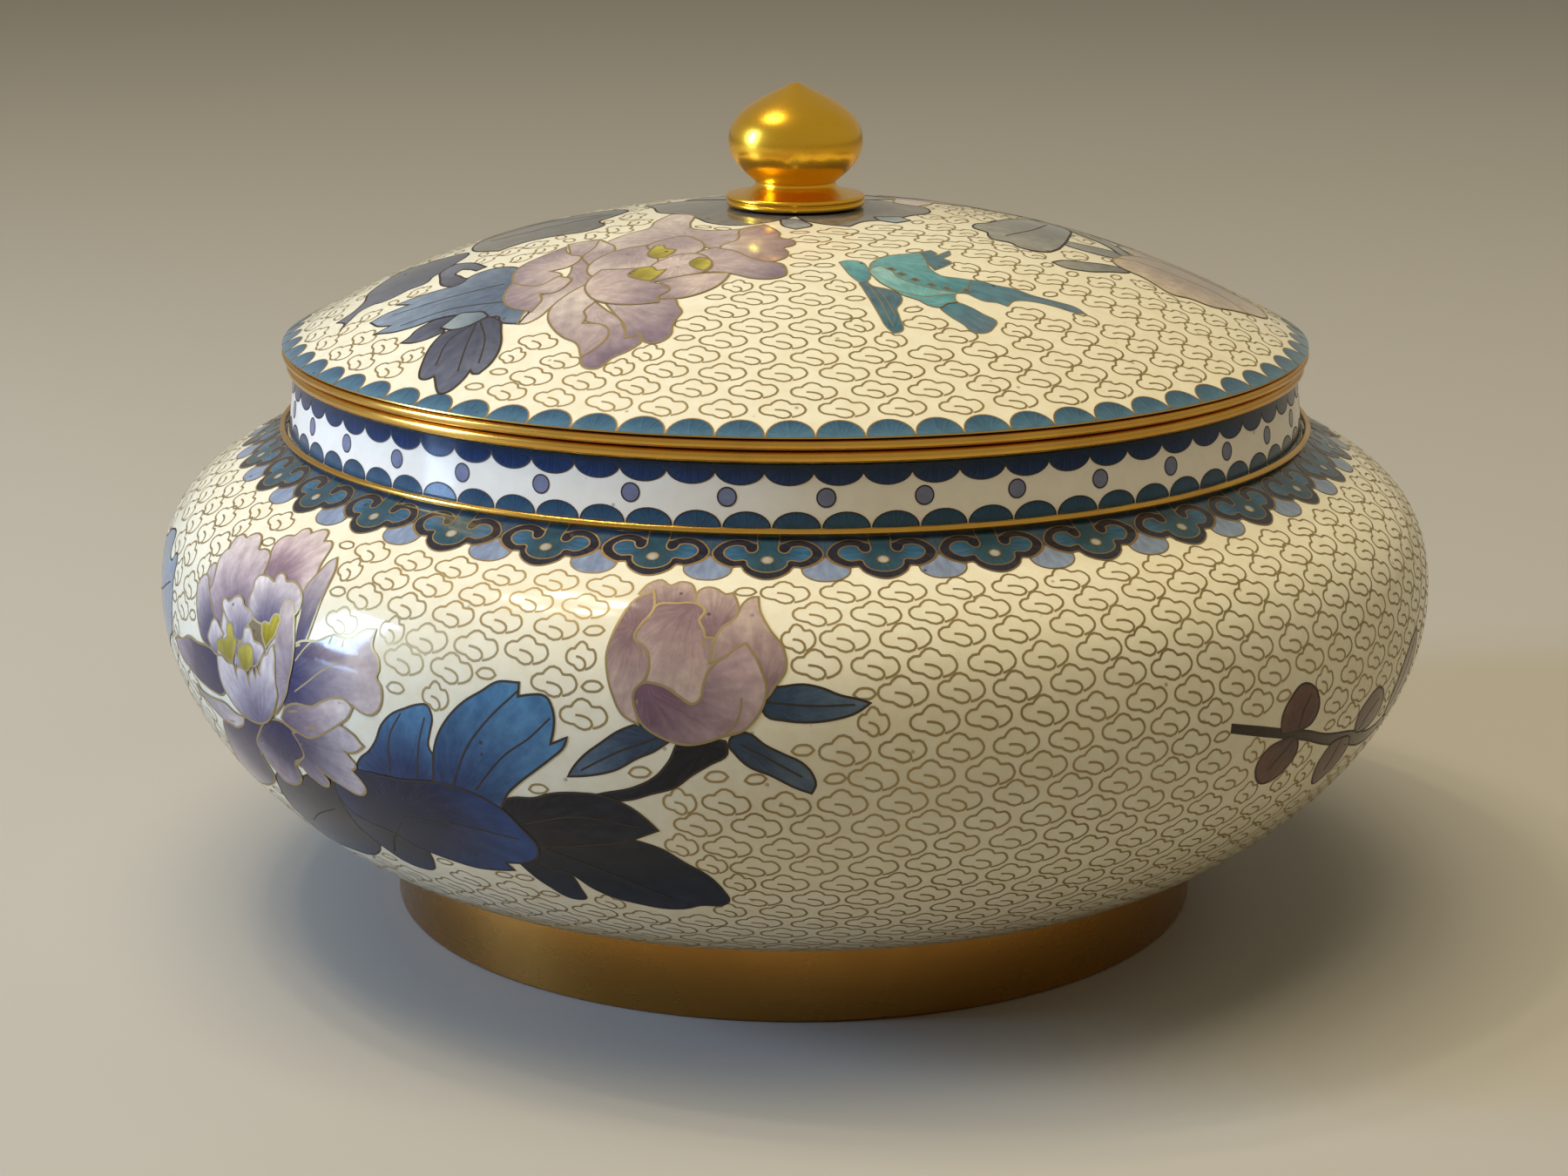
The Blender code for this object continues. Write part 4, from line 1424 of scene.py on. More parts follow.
# %% The bud with its sepals and stem
BUD = [
    ("leaf_black", (-2, 8), [
        (-5.5, 6.5), (1.5, 7), (1.8, 9), (-1, 11), (-4, 13), (-7, 15.5), (-11, 17), (-15, 18.5),
        (-20, 18.8), (-22, 18.5), (-19, 17.5), (-14, 16), (-10, 13.5), (-8, 11)]),
    ("sepal", (8, 1), [
        (8, -1.5), (11, -2.3), (14, -2.6), (17, -2), (20, -0.8), (24, 0.2), (25, 0.6), (23, 2),
        (19, 3.2), (15, 3.6), (11, 3.3), (8, 2.5), (7.3, 1)]),
    ("sepal", (3, 7), [
        (3.5, 5.5), (5, 5.5), (8, 7.5), (11, 9), (14, 10.5), (15.7, 12.5), (16.2, 14.5),
        (15.5, 16), (13, 15), (9, 12.8), (5, 11), (3, 9), (2, 7.5)]),
    ("sepal", (-10, 7), [
        (-12.5, 4.8), (-16, 6), (-19.5, 8.5), (-22.5, 11), (-24.5, 13.5), (-25.3, 15), (-22, 14.5),
        (-17, 13), (-13, 10.5), (-10.5, 9.3), (-8, 7.5), (-9.5, 5.5)]),
    ("bud", (-8, -12), [
        (-11.5, -16), (-14.5, -18.5), (-13, -21), (-11, -22), (-9.3, -20.8), (-8, -21.7),
        (-6, -21.5), (-5, -19.5), (-4.5, -16.8), (-8, -15.8), (-11, -15.4)]),
    ("bud", (-1, -11), [
        (-4.5, -17), (-4.5, -19.8), (-3, -20.8), (-1.3, -20.3), (0, -19.3), (1.2, -19.6), (2, -18),
        (2.4, -14.5), (0.5, -12.5), (0, -9), (-3, -9), (-3.8, -13.5), (-3, -15.5)]),
    ("bud", (-5, -17), [
        (-14.3, -9.5), (-13.5, -12), (-12.2, -13.8), (-11, -16.4), (-8, -16.8), (-4.5, -16.9),
        (-3, -15.5), (-3.8, -13.5), (-3, -12), (-2.5, -10.3), (-1, -10.3), (-1.5, -6), (1, -7),
        (3.2, -8.7), (4, -3), (0, 2), (-4, 3), (-13, 1), (-12, -5)]),
    ("bud", (6, 4), [
        (2.3, -14.5), (3, -17), (4.5, -18.7), (5.5, -18.8), (6, -16), (8, -12), (10.5, -8.5),
        (11, -5), (9.5, -2.5), (7.5, 0), (5, 0), (3, -7), (-0.5, -6.3), (-1.5, -6), (-1, -9.6),
        (0, -12)]),
    ("bud", (-14, -12), [
        (-12, -19.5), (-15, -17), (-17, -13), (-18, -10), (-18.8, -6), (-18.6, -4), (-17.5, 0),
        (-15.5, 3.5), (-13, 4.8), (-13.3, 1), (-13.5, -1), (-12.3, -2.3), (-11.5, -5.5),
        (-12.3, -8), (-14.3, -9.5), (-13.5, -12), (-11.7, -15)]),
    ("bud_violet", (-12, -1), [
        (-13.8, -0.5), (-12.5, -2), (-10, -2), (-8, -1.3), (-6, 0), (-4, 1), (-2.8, 0.2),
        (-2.3, -2.5), (-1, -5.5), (1, -7), (3.3, -8.9), (4.2, -9.4), (6, -7), (7, -5), (8, -2),
        (7.5, 1), (6, 3.5), (4.5, 5), (1, 6.2), (-2, 7.3), (-5, 7.8), (-9, 6.8), (-12.5, 4.5),
        (-13.5, 2.5)]),
]
BUD_VEINS = [
    [(22.5, 0.8), (15, 0.9), (8, 0.3)],
    [(14, 13), (8, 9.5), (4, 7.5)],
    [(-23, 13.6), (-16, 9.5), (-10, 7)],
    [(4, -0.3), (3.9, 1.5), (3, 4), (1.2, 6)],
]
print("the bud, sepals and stem have", len(BUD), "cells")

# %% The twig on the right
TWIG = [
    ("twig", (0, 3), [
        (-18.4, -2.5), (-10, -0.3), (-3, 1.7), (3, 3.3), (10, 5.7), (20, 7.9), (33, 11.3),
        (39, 11), (44, 8), (45.5, 9.5), (40, 13.6), (33, 14.4), (20, 10.9), (10, 7.8), (3, 5.1),
        (-3, 3.3), (-10, 1.3), (-18.4, -1.1)]),
    ("russet", (42, 11), [
        (40.5, 11), (40, 7), (42, 2), (46, -2.5), (51, -5), (52.5, -1), (51, 4), (47.5, 8.5),
        (44, 11)]),
    ("russet", (1, 3), [
        (-5, 2), (-5.5, -1.5), (-3.5, -4.5), (-0.5, -6.3), (2, -5.8), (4.5, -3.5), (5.3, -0.5),
        (4, 1.8), (1, 2.5)]),
    ("russet", (0, 3), [
        (-4.5, 3.5), (-8, 4.5), (-9.5, 7), (-8.5, 10), (-5.5, 12.3), (-3, 12.3), (0, 10.5),
        (1.5, 7), (0, 4)]),
    ("russet", (25, 9), [
        (23, 8.5), (22.2, 5), (25, 2.5), (29, 1.3), (32.5, 3), (34, 7), (31.5, 9.5), (27, 10)]),
    ("russet", (18, 9), [
        (14, 9), (12, 12.5), (13, 16), (16.5, 19.3), (20, 18), (23, 14), (22, 10), (18, 8.7)]),
]
TWIG_VEINS = [
    [(2.5, -4), (0.5, -1), (0, 2)],
    [(-6, 9.5), (-3, 6.5), (-0.5, 4)],
    [(31, 4), (27, 6.5), (25, 9)],
    [(50, -3), (46, 3), (42.5, 9)],
    [(17, 16), (17.5, 12), (18, 9)],
]
print("the twig has", len(TWIG) - 1, "leaves")

# %% Lay the sprays round the belly, once in front and once behind
# Each is the cells, the veins, the degrees from the front, the length down the belly, and the
# layer that it starts on. The peony starts higher, as its petals lie over the leaves.
SPRAY = [
    (FAR_LEAF, FAR_LEAF_VEINS, -78.0, 38.0, 0),
    (TWIG, TWIG_VEINS, 45.0, 48.0, 0),
    (LEAVES, LEAF_VEINS, -24.0, 52.0, 0),
    (PEONY, PEONY_VEINS, -50.0, 38.0, 4),
    (BUD, BUD_VEINS, -6.0, 34.0, 0),
]
belly_flowers = Cladding("belly_flowers", "bowl_enamel")
belly_drawings = []
for half_turn in (0.0, 180.0):
    for cells, veins, degrees, down, layer in SPRAY:
        angle = degrees + half_turn
        draw(belly_flowers, wall_chart(BELLY, angle, down), cells, veins, layer)
        belly_drawings += [(angle, down, outline) for paint_name, root, outline in cells]
belly_flowers.finish()

# %% [markdown]
# ## The lid's picture
# The lid has the same flowers, seen from above: a peony in front on the left, a swallow in front
# on the right, a second flower and leaves at the sides, and dark leaves round the knob. The peony
# and its leaves come once more behind. All are drawn as a plan of the lid, which is how a maker
# would set them out with compasses.

# %% Leaves beside the lid's peony
LID_LEAVES = [
    ("leaf_dusk", (-66, -6), [
        (-87.2, -21.9), (-84.8, -19.9), (-83, -15.7), (-82.9, -7.5), (-81.1, -0.2), (-78.4, 7),
        (-73.1, 3.4), (-68.9, 0.9), (-63.7, -3.7), (-64, -8.5), (-65.6, -11.5), (-67.6, -15.5),
        (-69, -16.6), (-70.5, -20.4), (-73.6, -20.4), (-75.7, -21.5), (-78.4, -21.7),
        (-80.5, -20.6), (-82.3, -21.1), (-84.2, -24.7), (-85.7, -29), (-85.2, -25.7)]),
    ("leaf_dusk", (-60, -30), [
        (-66, -27.3), (-67.4, -21), (-67.3, -14.2), (-65.2, -12.2), (-62.1, -15.6), (-58.4, -23),
        (-60.2, -23.8), (-61.5, -21.4), (-63.3, -19.2), (-64.4, -20.5), (-63.3, -23.9),
        (-61.8, -27), (-61, -27.6), (-61.5, -30.1), (-63.4, -30)]),
    ("leaf_dusk", (-62, -48), [
        (-71.7, -49.8), (-70.4, -48.9), (-69.2, -46.6), (-67.4, -45.5), (-64.8, -44.5),
        (-62.6, -45), (-60.5, -47), (-63.8, -50), (-63.5, -51.9), (-67.1, -52.4), (-69.3, -51.8)]),
    ("leaf_grey", (-50, -42), [
        (-51.8, -29.9), (-54.3, -27.1), (-57.8, -25.7), (-60.8, -26.5), (-63, -29.8),
        (-65.7, -29.3), (-70.4, -28.3), (-75, -28.2), (-72.1, -31.5), (-77.2, -31.7),
        (-79.3, -32.9), (-77.2, -37.2), (-74.7, -39.5), (-77.6, -40.5), (-73.2, -43.7),
        (-69.4, -44.7), (-65.7, -44.8), (-61.9, -46.1), (-57.7, -51.2), (-53.6, -52.6),
        (-53.1, -54.9), (-49.6, -57.7), (-47.5, -52), (-50, -46), (-50.5, -38)]),
    ("leaf_pale", (-55, -49), [
        (-64.4, -49.6), (-63.1, -48.1), (-61.1, -46.2), (-58.8, -47.2), (-56.9, -48.4),
        (-55.6, -51), (-57.7, -52.2), (-59.4, -52.9), (-62, -52.2)]),
    ("leaf_dusk", (-56, -48), [
        (-53.5, -53.9), (-52.6, -59), (-52.3, -64.1), (-52.8, -67.1), (-54, -69.7), (-55.6, -71.3),
        (-56.7, -70.7), (-57.2, -69.2), (-57.8, -70.8), (-59.3, -72.9), (-60.7, -73.9),
        (-62.1, -73.7), (-62.9, -72), (-63.4, -69.4), (-63.8, -67.3), (-64.8, -67.6),
        (-66.3, -66.6), (-66.7, -64.8), (-66.5, -61.6), (-66.1, -58.4), (-65, -54.7),
        (-63.4, -52.4), (-60.1, -52.8), (-57.6, -52.5), (-55.9, -51.6)]),
]
LID_LEAF_VEINS = [
    [(-53.8, -37.4), (-64.3, -35.8), (-75, -34.2)],
    [(-53, -46.6), (-63.7, -42.3), (-72.7, -41.6)],
    [(-57.6, -52.9), (-58.7, -60.4), (-59.5, -68.5)],
    [(-56.9, -52.6), (-55.4, -60.2), (-55.8, -68)],
    [(-58, -52.7), (-61.7, -55.6), (-63.9, -64)],
]
print("leaves beside the lid's peony:", len(LID_LEAVES))

# %% The lid's peony
LID_PEONY = [
    ("lid_petal", (-42, -36), [
        (-43, -21), (-40, -21), (-37, -22), (-35.7, -25), (-38, -28), (-36, -36), (-37, -44),
        (-38.3, -48), (-42, -51), (-44, -54), (-46.5, -57.5), (-48.5, -58.2), (-49.8, -57.5),
        (-49, -54), (-46, -48), (-42, -42), (-42, -30)]),
    ("lid_mauve", (-42, -36), [
        (-51, -29), (-47.4, -25.7), (-43.3, -22.5), (-42.8, -27), (-41.5, -29.8), (-40, -31.2),
        (-40, -33.5), (-42, -36.2), (-45.5, -36.6), (-44, -38), (-43, -40.3), (-44, -42),
        (-47, -43), (-50, -41), (-52, -38), (-52.4, -34.4), (-52.1, -31.2)]),
    ("lid_mauve", (-42, -43), [
        (-52.1, -38), (-50, -41), (-47, -43), (-43.5, -40.5), (-41, -43.5), (-41.5, -45.3),
        (-44, -48), (-46.5, -47), (-46, -50), (-47.5, -54), (-49.2, -52.5), (-51, -50.7),
        (-52.8, -47.5), (-53.3, -44)]),
    ("lid_petal", (-20, -30), [
        (-35.5, -25), (-31, -20), (-28, -18), (-27, -13), (-24, -6), (-20.5, -8), (-20, -18),
        (-19.5, -21.5), (-17, -23.5), (-13, -24.5), (-10, -24), (-9, -30), (-11, -34), (-14, -37),
        (-17, -35), (-20, -30), (-26, -30), (-30, -31), (-34, -33)]),
    ("lid_petal", (-36, -34), [
        (-37, -22), (-35.5, -25), (-34, -28), (-34, -33), (-38, -38), (-39.5, -31), (-38, -28)]),
    ("lid_mauve", (-16, -34), [
        (-10, -24), (-6, -21), (-4.5, -24), (-3, -28), (-3, -31), (-0.5, -33), (-0.5, -36),
        (-2.5, -37.5), (-1.5, -40), (-2, -43), (-5, -45), (-9, -43), (-12, -39), (-14, -36),
        (-11, -32)]),
    ("lid_purple", (-16, -44), [
        (-15, -36), (-11, -39), (-8, -43), (-5, -45), (-2.8, -46), (-1.8, -49), (-2, -51.5),
        (-4.5, -53), (-8, -52.5), (-11, -50.5), (-14, -49), (-18, -48), (-19, -44), (-19, -39)]),
    ("lid_purple", (-36, -58), [
        (-36, -55.5), (-33.5, -60), (-31, -64), (-30, -68), (-27.5, -70.5), (-27, -72),
        (-29, -74.5), (-32, -76), (-34.5, -78.3), (-36.5, -77.5), (-37.3, -74), (-35, -72),
        (-33, -69), (-33.5, -66), (-36, -63.5), (-37.5, -62), (-37.8, -58.5)]),
    ("lid_purple", (-33, -56), [
        (-34, -57), (-28, -57), (-24, -57), (-21.5, -59), (-21, -61.5), (-20.2, -64), (-21, -66),
        (-21.7, -68.5), (-22, -71.5), (-24.5, -73.5), (-26.5, -72.5), (-27.3, -70), (-30, -70.5),
        (-30.3, -66), (-32, -62)]),
    ("lid_petal", (-42, -78), [
        (-37, -46), (-42, -51), (-44, -54.5), (-44.3, -58), (-43.3, -62), (-41, -66.5),
        (-38.5, -69.5), (-37.5, -74), (-35.5, -72.5), (-33.5, -70), (-33, -67), (-34.5, -64.5),
        (-37.8, -63), (-37.3, -61), (-37.8, -58.5), (-36, -55.5)]),
    ("lid_mauve", (-16, -52), [
        (-26, -49), (-23, -50), (-20, -49.5), (-16, -49.3), (-12, -49.8), (-12.5, -52),
        (-14.5, -55.5), (-17, -57.5), (-20, -58.7), (-24.5, -58.3), (-24, -56), (-22.8, -55),
        (-23.5, -53)]),
    ("lid_petal", (-30, -34), [
        (-38, -37.5), (-36.5, -34.5), (-34, -32), (-31, -31), (-27.5, -31), (-25, -34), (-25, -38),
        (-25.5, -42), (-29, -45), (-33, -46), (-37, -44)]),
    ("lid_petal", (-22, -30), [
        (-27.5, -31), (-24, -28), (-21, -27), (-18.5, -30), (-17, -34), (-17, -36), (-19, -39),
        (-22, -40), (-25, -42), (-26, -36)]),
    ("lid_mauve", (-22, -44), [
        (-25, -41), (-21, -38.5), (-18, -39), (-16, -42), (-16, -48), (-20, -49.5), (-23, -50),
        (-26, -51), (-27, -45)]),
    ("lid_mauve", (-40, -50), [
        (-35.5, -41.5), (-37.5, -45), (-38.2, -48.5), (-37.5, -52), (-36, -55), (-33, -57.5),
        (-28, -59.3), (-24.5, -59.5), (-24.5, -57), (-22.8, -55.5), (-23, -53.5), (-25.5, -51.5),
        (-27, -49.5), (-29, -48.5), (-30.5, -46), (-29, -43.5), (-31, -43)]),
    ("stamen", (-28, -38), [
        (-27.1, -37.3), (-26.2, -32), (-24.5, -31.9), (-24, -34.3), (-22.2, -35.5), (-23, -38),
        (-24.6, -39.4), (-25.9, -39)]),
    ("stamen", (-31, -48), [
        (-29.8, -47.1), (-28.7, -43.5), (-26.2, -43.8), (-25.2, -45.8), (-23.6, -45.8),
        (-24.7, -48.2), (-26.3, -50.4), (-28.5, -48.8)]),
    ("stamen", (-20, -44), [
        (-19.2, -42.8), (-17.7, -41.1), (-16, -42.3), (-15.5, -46), (-16.7, -48), (-18.4, -46.5)]),
]
print("the lid's peony has", len(LID_PEONY), "cells")

# %% Leaves round the knob and the second flower
ROSETTE = [
    ("leaf_shade", (0, 0), [
        (-30, 12), (-28, 6), (-26, -3), (-22, -7), (-19, -12), (-16, -18), (-11, -21), (-6, -19.5),
        (-3, -17), (0, -13), (0, 0), (-12, 10), (-20, 14)]),
    ("leaf_shade", (0, 0), [
        (0, -13), (2, -18), (5, -20.5), (10, -22), (13, -17), (18, -14), (22, -8), (26, -2),
        (26, 3), (23, 8), (15, 12), (0, 0)]),
    ("leaf_shade", (0, 0), [
        (15, 12), (20, 16), (16, 22), (10, 24), (3, 21), (-2, 25), (-8, 26), (-12, 20), (-18, 20),
        (-22, 15), (-12, 10), (0, 0)]),
    ("leaf_pale", (0, -14), [(-3, -17), (-1, -16), (2, -19), (3, -22), (0, -25), (-2, -23)]),
    ("leaf_pale", (14, -10), [(15, -12), (20, -10), (22, -13), (19, -16.5), (16, -15)]),
]
BACK_LEAVES = [
    ("leaf_shade", (-36, 4), [
        (-60, 18), (-63, 8), (-62, -5), (-57, -12), (-52, -10), (-45, -11), (-40, -12), (-37, -9),
        (-38, -3), (-36, 0), (-33, 6), (-38, 14), (-46, 16), (-52, 22), (-56, 22)]),
]
BACK_LEAF_VEINS = [
    [(-60, 4), (-50, 2), (-36, 4)],
    [(-54, 18), (-46, 10), (-38, 6)],
]
SIDE_FLOWER = [
    ("leaf_olive", (62, -18), [
        (47.9, -28.8), (50.3, -25.6), (54.7, -22.8), (60.1, -19.5), (64, -18.4), (63, -21),
        (59.6, -24.4), (53.6, -29.4), (49.9, -30.3)]),
    ("leaf_olive", (62, -7), [
        (51.7, -8.8), (56.2, -6.4), (61.6, -4.1), (63.5, -7), (62.6, -10.3), (55.5, -13.1),
        (51.9, -12.1)]),
    ("leaf_olive", (64, -4), [
        (52, 17), (57, 13.5), (61.9, 8.6), (64.9, 0), (66, -4), (62.9, -5.9), (60.8, 1.8),
        (55, 10)]),
    ("leaf_olive", (52, -2), [
        (34.6, -9), (37.2, -5.4), (40, 0.8), (45.7, 12.7), (51.3, 21.9), (54.4, 11.2),
        (53.2, -2.7), (51.3, -12.7), (49.4, -18.9), (46.8, -22.8), (43, -23.5), (41.5, -22.6),
        (40.9, -21.2), (37.2, -20.4), (36.5, -18), (36.4, -15.2), (34.4, -13.7)]),
    ("dusky_petal", (74, -4), [
        (66, 0), (64, 8), (68, 15), (75, 18), (80, 13.2), (84, 12), (87, 6), (90, 2), (84, -6),
        (72, -8)]),
    ("dusky_petal", (76, -2), [
        (61.3, -12), (63.3, -6.5), (66.5, -1), (70, 3), (76, 5), (84, 4), (90, 2), (91.8, -4),
        (91.2, -9.8), (87.1, -14.5), (78, -14), (70, -12)]),
    ("dusky_petal", (76, -6), [
        (61.3, -12), (61.6, -18.6), (66, -21.2), (68.1, -23.6), (70.6, -26), (74.6, -24),
        (78.4, -23.5), (82.7, -19.4), (87.1, -15), (82, -9), (74, -8), (66, -8)]),
]
SIDE_VEINS = [
    [(40, -16), (46, -4), (50, 10)],
]
print("leaves round the knob:", len(ROSETTE) + len(BACK_LEAVES), "and side flower:", len(SIDE_FLOWER))

# %% The swallow
SWALLOW = [
    ("bird_dark", (16, -72), [
        (11.3, -53.5), (12.5, -52.2), (13.5, -54.8), (16.7, -56), (18.5, -57.8), (18.5, -61.2),
        (17.8, -62.7), (18.1, -65.8), (18, -71.2), (16.9, -71.7), (15.7, -69.8), (14.5, -65.8),
        (13.1, -60.8), (11.8, -56)]),
    ("bird", (9, -43), [
        (7.8, -44.9), (9.3, -43.8), (11.9, -44.3), (12.9, -46.8), (13.4, -50), (12.7, -53),
        (11.3, -53.8), (10.2, -52)]),
    ("bird_dark", (22, -40), [
        (22.5, -37), (24.9, -34.4), (25.9, -35.7), (25.6, -37.6), (28.4, -33.2), (28.5, -35.6),
        (27, -38.3), (28.4, -39.6), (27.1, -42.7), (25.2, -45.2), (23.6, -41.1)]),
    ("bird_grey", (28, -50), [
        (31, -47.6), (33.1, -47.3), (36.3, -48), (39.5, -48.1), (42.6, -49.3), (47.4, -49.7),
        (50.6, -50.1), (52.4, -52), (50.1, -52.6), (46.6, -52.1), (43.1, -52.1), (39.1, -53.6),
        (37.8, -56.3), (35.8, -55.6), (33.6, -55.9), (32, -55), (30.5, -54), (28.8, -54.3),
        (28, -50)]),
    ("bird_grey", (24, -57), [
        (25.4, -61), (25.5, -58.5), (28.7, -58), (31.1, -59.2), (33.3, -61.1), (35.4, -62.6),
        (34.9, -65), (32.9, -67.8), (31, -68.1), (29.5, -66.1), (27.1, -63.7)]),
    ("bird", (16, -42), [
        (13.2, -48.1), (13.5, -45), (14.8, -42.3), (17.2, -39.8), (20.5, -38), (22.8, -36.6),
        (23.7, -40.6), (24.6, -45.3), (26.3, -47.5), (29.2, -47.6), (31.4, -47.6), (31, -50.6),
        (28.8, -54.3), (24.8, -54), (21.3, -52.6), (18.3, -50.4), (16.9, -47), (15.1, -45.6)]),
    ("bird_light", (22, -60), [
        (13.2, -48.1), (15.1, -45.6), (16.9, -47), (18.3, -50.4), (21.3, -52.6), (24.8, -54),
        (28.8, -54.3), (28.5, -54.8), (25.9, -56), (23, -57.5), (21.1, -57.3), (18.3, -56.4),
        (15.5, -54), (14, -51.2)]),
    ("bird", (20, -62), [
        (14, -51.2), (15.5, -54), (18.3, -56.4), (21.1, -57.3), (23, -57.5), (25.9, -56),
        (28.5, -54.8), (28.4, -57.4), (28.7, -58), (26.7, -59.2), (25.4, -61), (23.5, -60.8),
        (21.7, -59.2), (18.9, -57.8), (16.7, -55.3), (14.6, -52.7)]),
]
SWALLOW_VEINS = [
    [(12.6, -53.5), (14.6, -60), (16.9, -69.5)],
    [(14.5, -55.8), (15.9, -60), (17.4, -65.5)],
]
print("parts of the swallow:", len(SWALLOW))

# %% The spots along the swallow's wing and back
SPOTS = [(17.2, -46.9), (19.0, -48.8), (21.4, -50.8), (24.3, -52.2), (27.0, -53.0), (30.6, -52.6)]
SPOT_WIDE = 0.9
SPOT_TALL = 0.8
for x, y in SPOTS:
    diamond = [(x - SPOT_WIDE, y), (x, y - SPOT_TALL), (x + SPOT_WIDE, y), (x, y + SPOT_TALL)]
    SWALLOW.append(("bird_spot", (x, y), diamond))
print("the swallow has", len(SWALLOW), "cells with its spots")

# %% Lay the drawings on the lid
# Each is the cells, the veins, the degrees from the front, the layer that it starts on, and the
# width of its wires.
LID_PICTURE = [
    (ROSETTE, [], 0.0, 0, WIRE_WIDTH),
    (BACK_LEAVES, BACK_LEAF_VEINS, 0.0, 1, WIRE_WIDTH),
    (LID_LEAVES, LID_LEAF_VEINS, 0.0, 0, WIRE_WIDTH),
    (LID_PEONY, [], 0.0, 2, WIRE_WIDTH),
    (SIDE_FLOWER, SIDE_VEINS, 0.0, 2, WIRE_WIDTH),
    (SWALLOW, SWALLOW_VEINS, 0.0, 0, THIN_WIRE),
    (LID_LEAVES, LID_LEAF_VEINS, 180.0, 0, WIRE_WIDTH),
    (LID_PEONY, [], 180.0, 2, WIRE_WIDTH),
]
lid_flowers = Cladding("lid_flowers", "lid_enamel")
lid_drawings = []
for cells, veins, degrees, layer, width in LID_PICTURE:
    draw(lid_flowers, lid_chart(degrees), cells, veins, layer, width)
    lid_drawings += [(degrees, outline) for paint_name, root, outline in cells]
lid_flowers.finish()

# %% [markdown]
# ## The ground of clouds
# Plain enamel cracks away from a large bare wall, so the ground is pinned all over with small
# wire clouds. Each is one wire: a curl inside, a flat foot, and three lobes on top. The cloud is
# drawn once and laid in rows that follow the wall, every second row shifted by half a cloud. Where
# a flower is in the way the maker used a small loop instead, and so does this loop.

# %% One cloud and one small loop, drawn flat
CLOUD_STEP = 1.2
LOOP_STEP = 0.7
CLOUD = [
    (-1.6, 0.2), (0, 0.4), (1.3, 1.2), (1.5, 1.9), (1.0, 2.55), (0, 2.8), (-1, 2.5), (-1.9, 1.9),
    (-2.7, 1.8), (-3.7, 1.5), (-4.5, 0.6), (-4.3, -0.6), (-3.5, -1.2), (-2.4, -1.3), (-2, -1.9),
    (-1.2, -2.6), (-0.3, -2.75), (0.8, -2.3), (1.5, -1.4), (2.2, -1.35), (3, -1.4), (4, -0.5),
    (4.3, 0.3), (3.8, 1.5), (2.9, 2.1), (1.6, 2.5),
]
LOOP = [
    (-1.95, 0.3), (-1.2, -0.65), (0, -0.95), (1.3, -0.75), (2.0, 0.0), (1.2, 0.8), (0, 1.0),
    (-1.2, 0.9),
]
cloud_line = smooth(CLOUD, closed=False, step=CLOUD_STEP)
loop_line = smooth(LOOP, step=LOOP_STEP)
print("one cloud has", len(cloud_line) - 1, "faces and one loop", len(loop_line))


# %% Which spots the flowers cover
def covered_on(drawings, to_paper):
    """Whether a spot is under any drawing, given how to lay it on that drawing's paper."""
    for place, outline, (left, top, right, bottom) in drawings:
        x, y = to_paper(place)
        if left <= x <= right and top <= y <= bottom and inside((x, y), outline):
            return True
    return False


belly_boxes = [((angle, down), outline, box_of(outline)) for angle, down, outline in belly_drawings]
lid_boxes = [(degrees, outline, box_of(outline)) for degrees, outline in lid_drawings]
print("outlines that clouds keep clear of:", len(belly_boxes), "on the belly,", len(lid_boxes), "on the lid")


def belly_covered(angle, length):
    """Whether the belly's flowers cover the spot at an angle and a length."""
    def to_paper(place):
        degrees, down = place
        turn_by = (math.degrees(angle) - degrees + 180.0) % 360.0 - 180.0
        return math.radians(turn_by) * BELLY.radius(length), length - down
    return covered_on(belly_boxes, to_paper)


def lid_covered(angle, length):
    """Whether the lid's picture covers the spot at an angle and a length."""
    radius = DOME.radius(length)

    def to_paper(degrees):
        turned = angle - math.radians(degrees)
        return radius * math.sin(turned), -radius * math.cos(turned)
    return covered_on(lid_boxes, to_paper)


# %% Figures that can fill a place in a row, from the largest to the smallest
def reach_of(width, height):
    """The middle, ends and shoulders of a figure of that size, which all have to be free."""
    half = 0.5 * width
    tall = 0.5 * height
    slant = 0.6 * half
    rise = 0.7 * tall
    ends = [(0, 0), (-half, 0), (half, 0), (0, -tall), (0, tall)]
    shoulders = [(-slant, -rise), (slant, -rise), (-slant, rise), (slant, rise)]
    return ends + shoulders


# Each is a name, the spots that have to be free, how far the cloud is squeezed, and the shifts
# along the row to try. Two loops stand side by side where the middle of a place isn't free.
FIGURES = [
    ("cloud", reach_of(8.8, 5.6), 1.0, (0.0,)),
    ("narrow cloud", reach_of(6.2, 5.0), 0.66, (0.0, -1.8, 1.8)),
    ("loop", reach_of(4.2, 2.3), None, (0.0, -2.9, 2.9)),
]
print("figures:", ", ".join(figure[0] for figure in FIGURES))

# %% Lay the clouds in rows
# A maker's hand is never quite even: each cloud leans, shrinks and shifts a little.
LEAN = 4.0
CLOUD_SIZES = (0.88, 0.96)
SWAY = 0.3
DROP = 0.25
rng = random.Random(12)


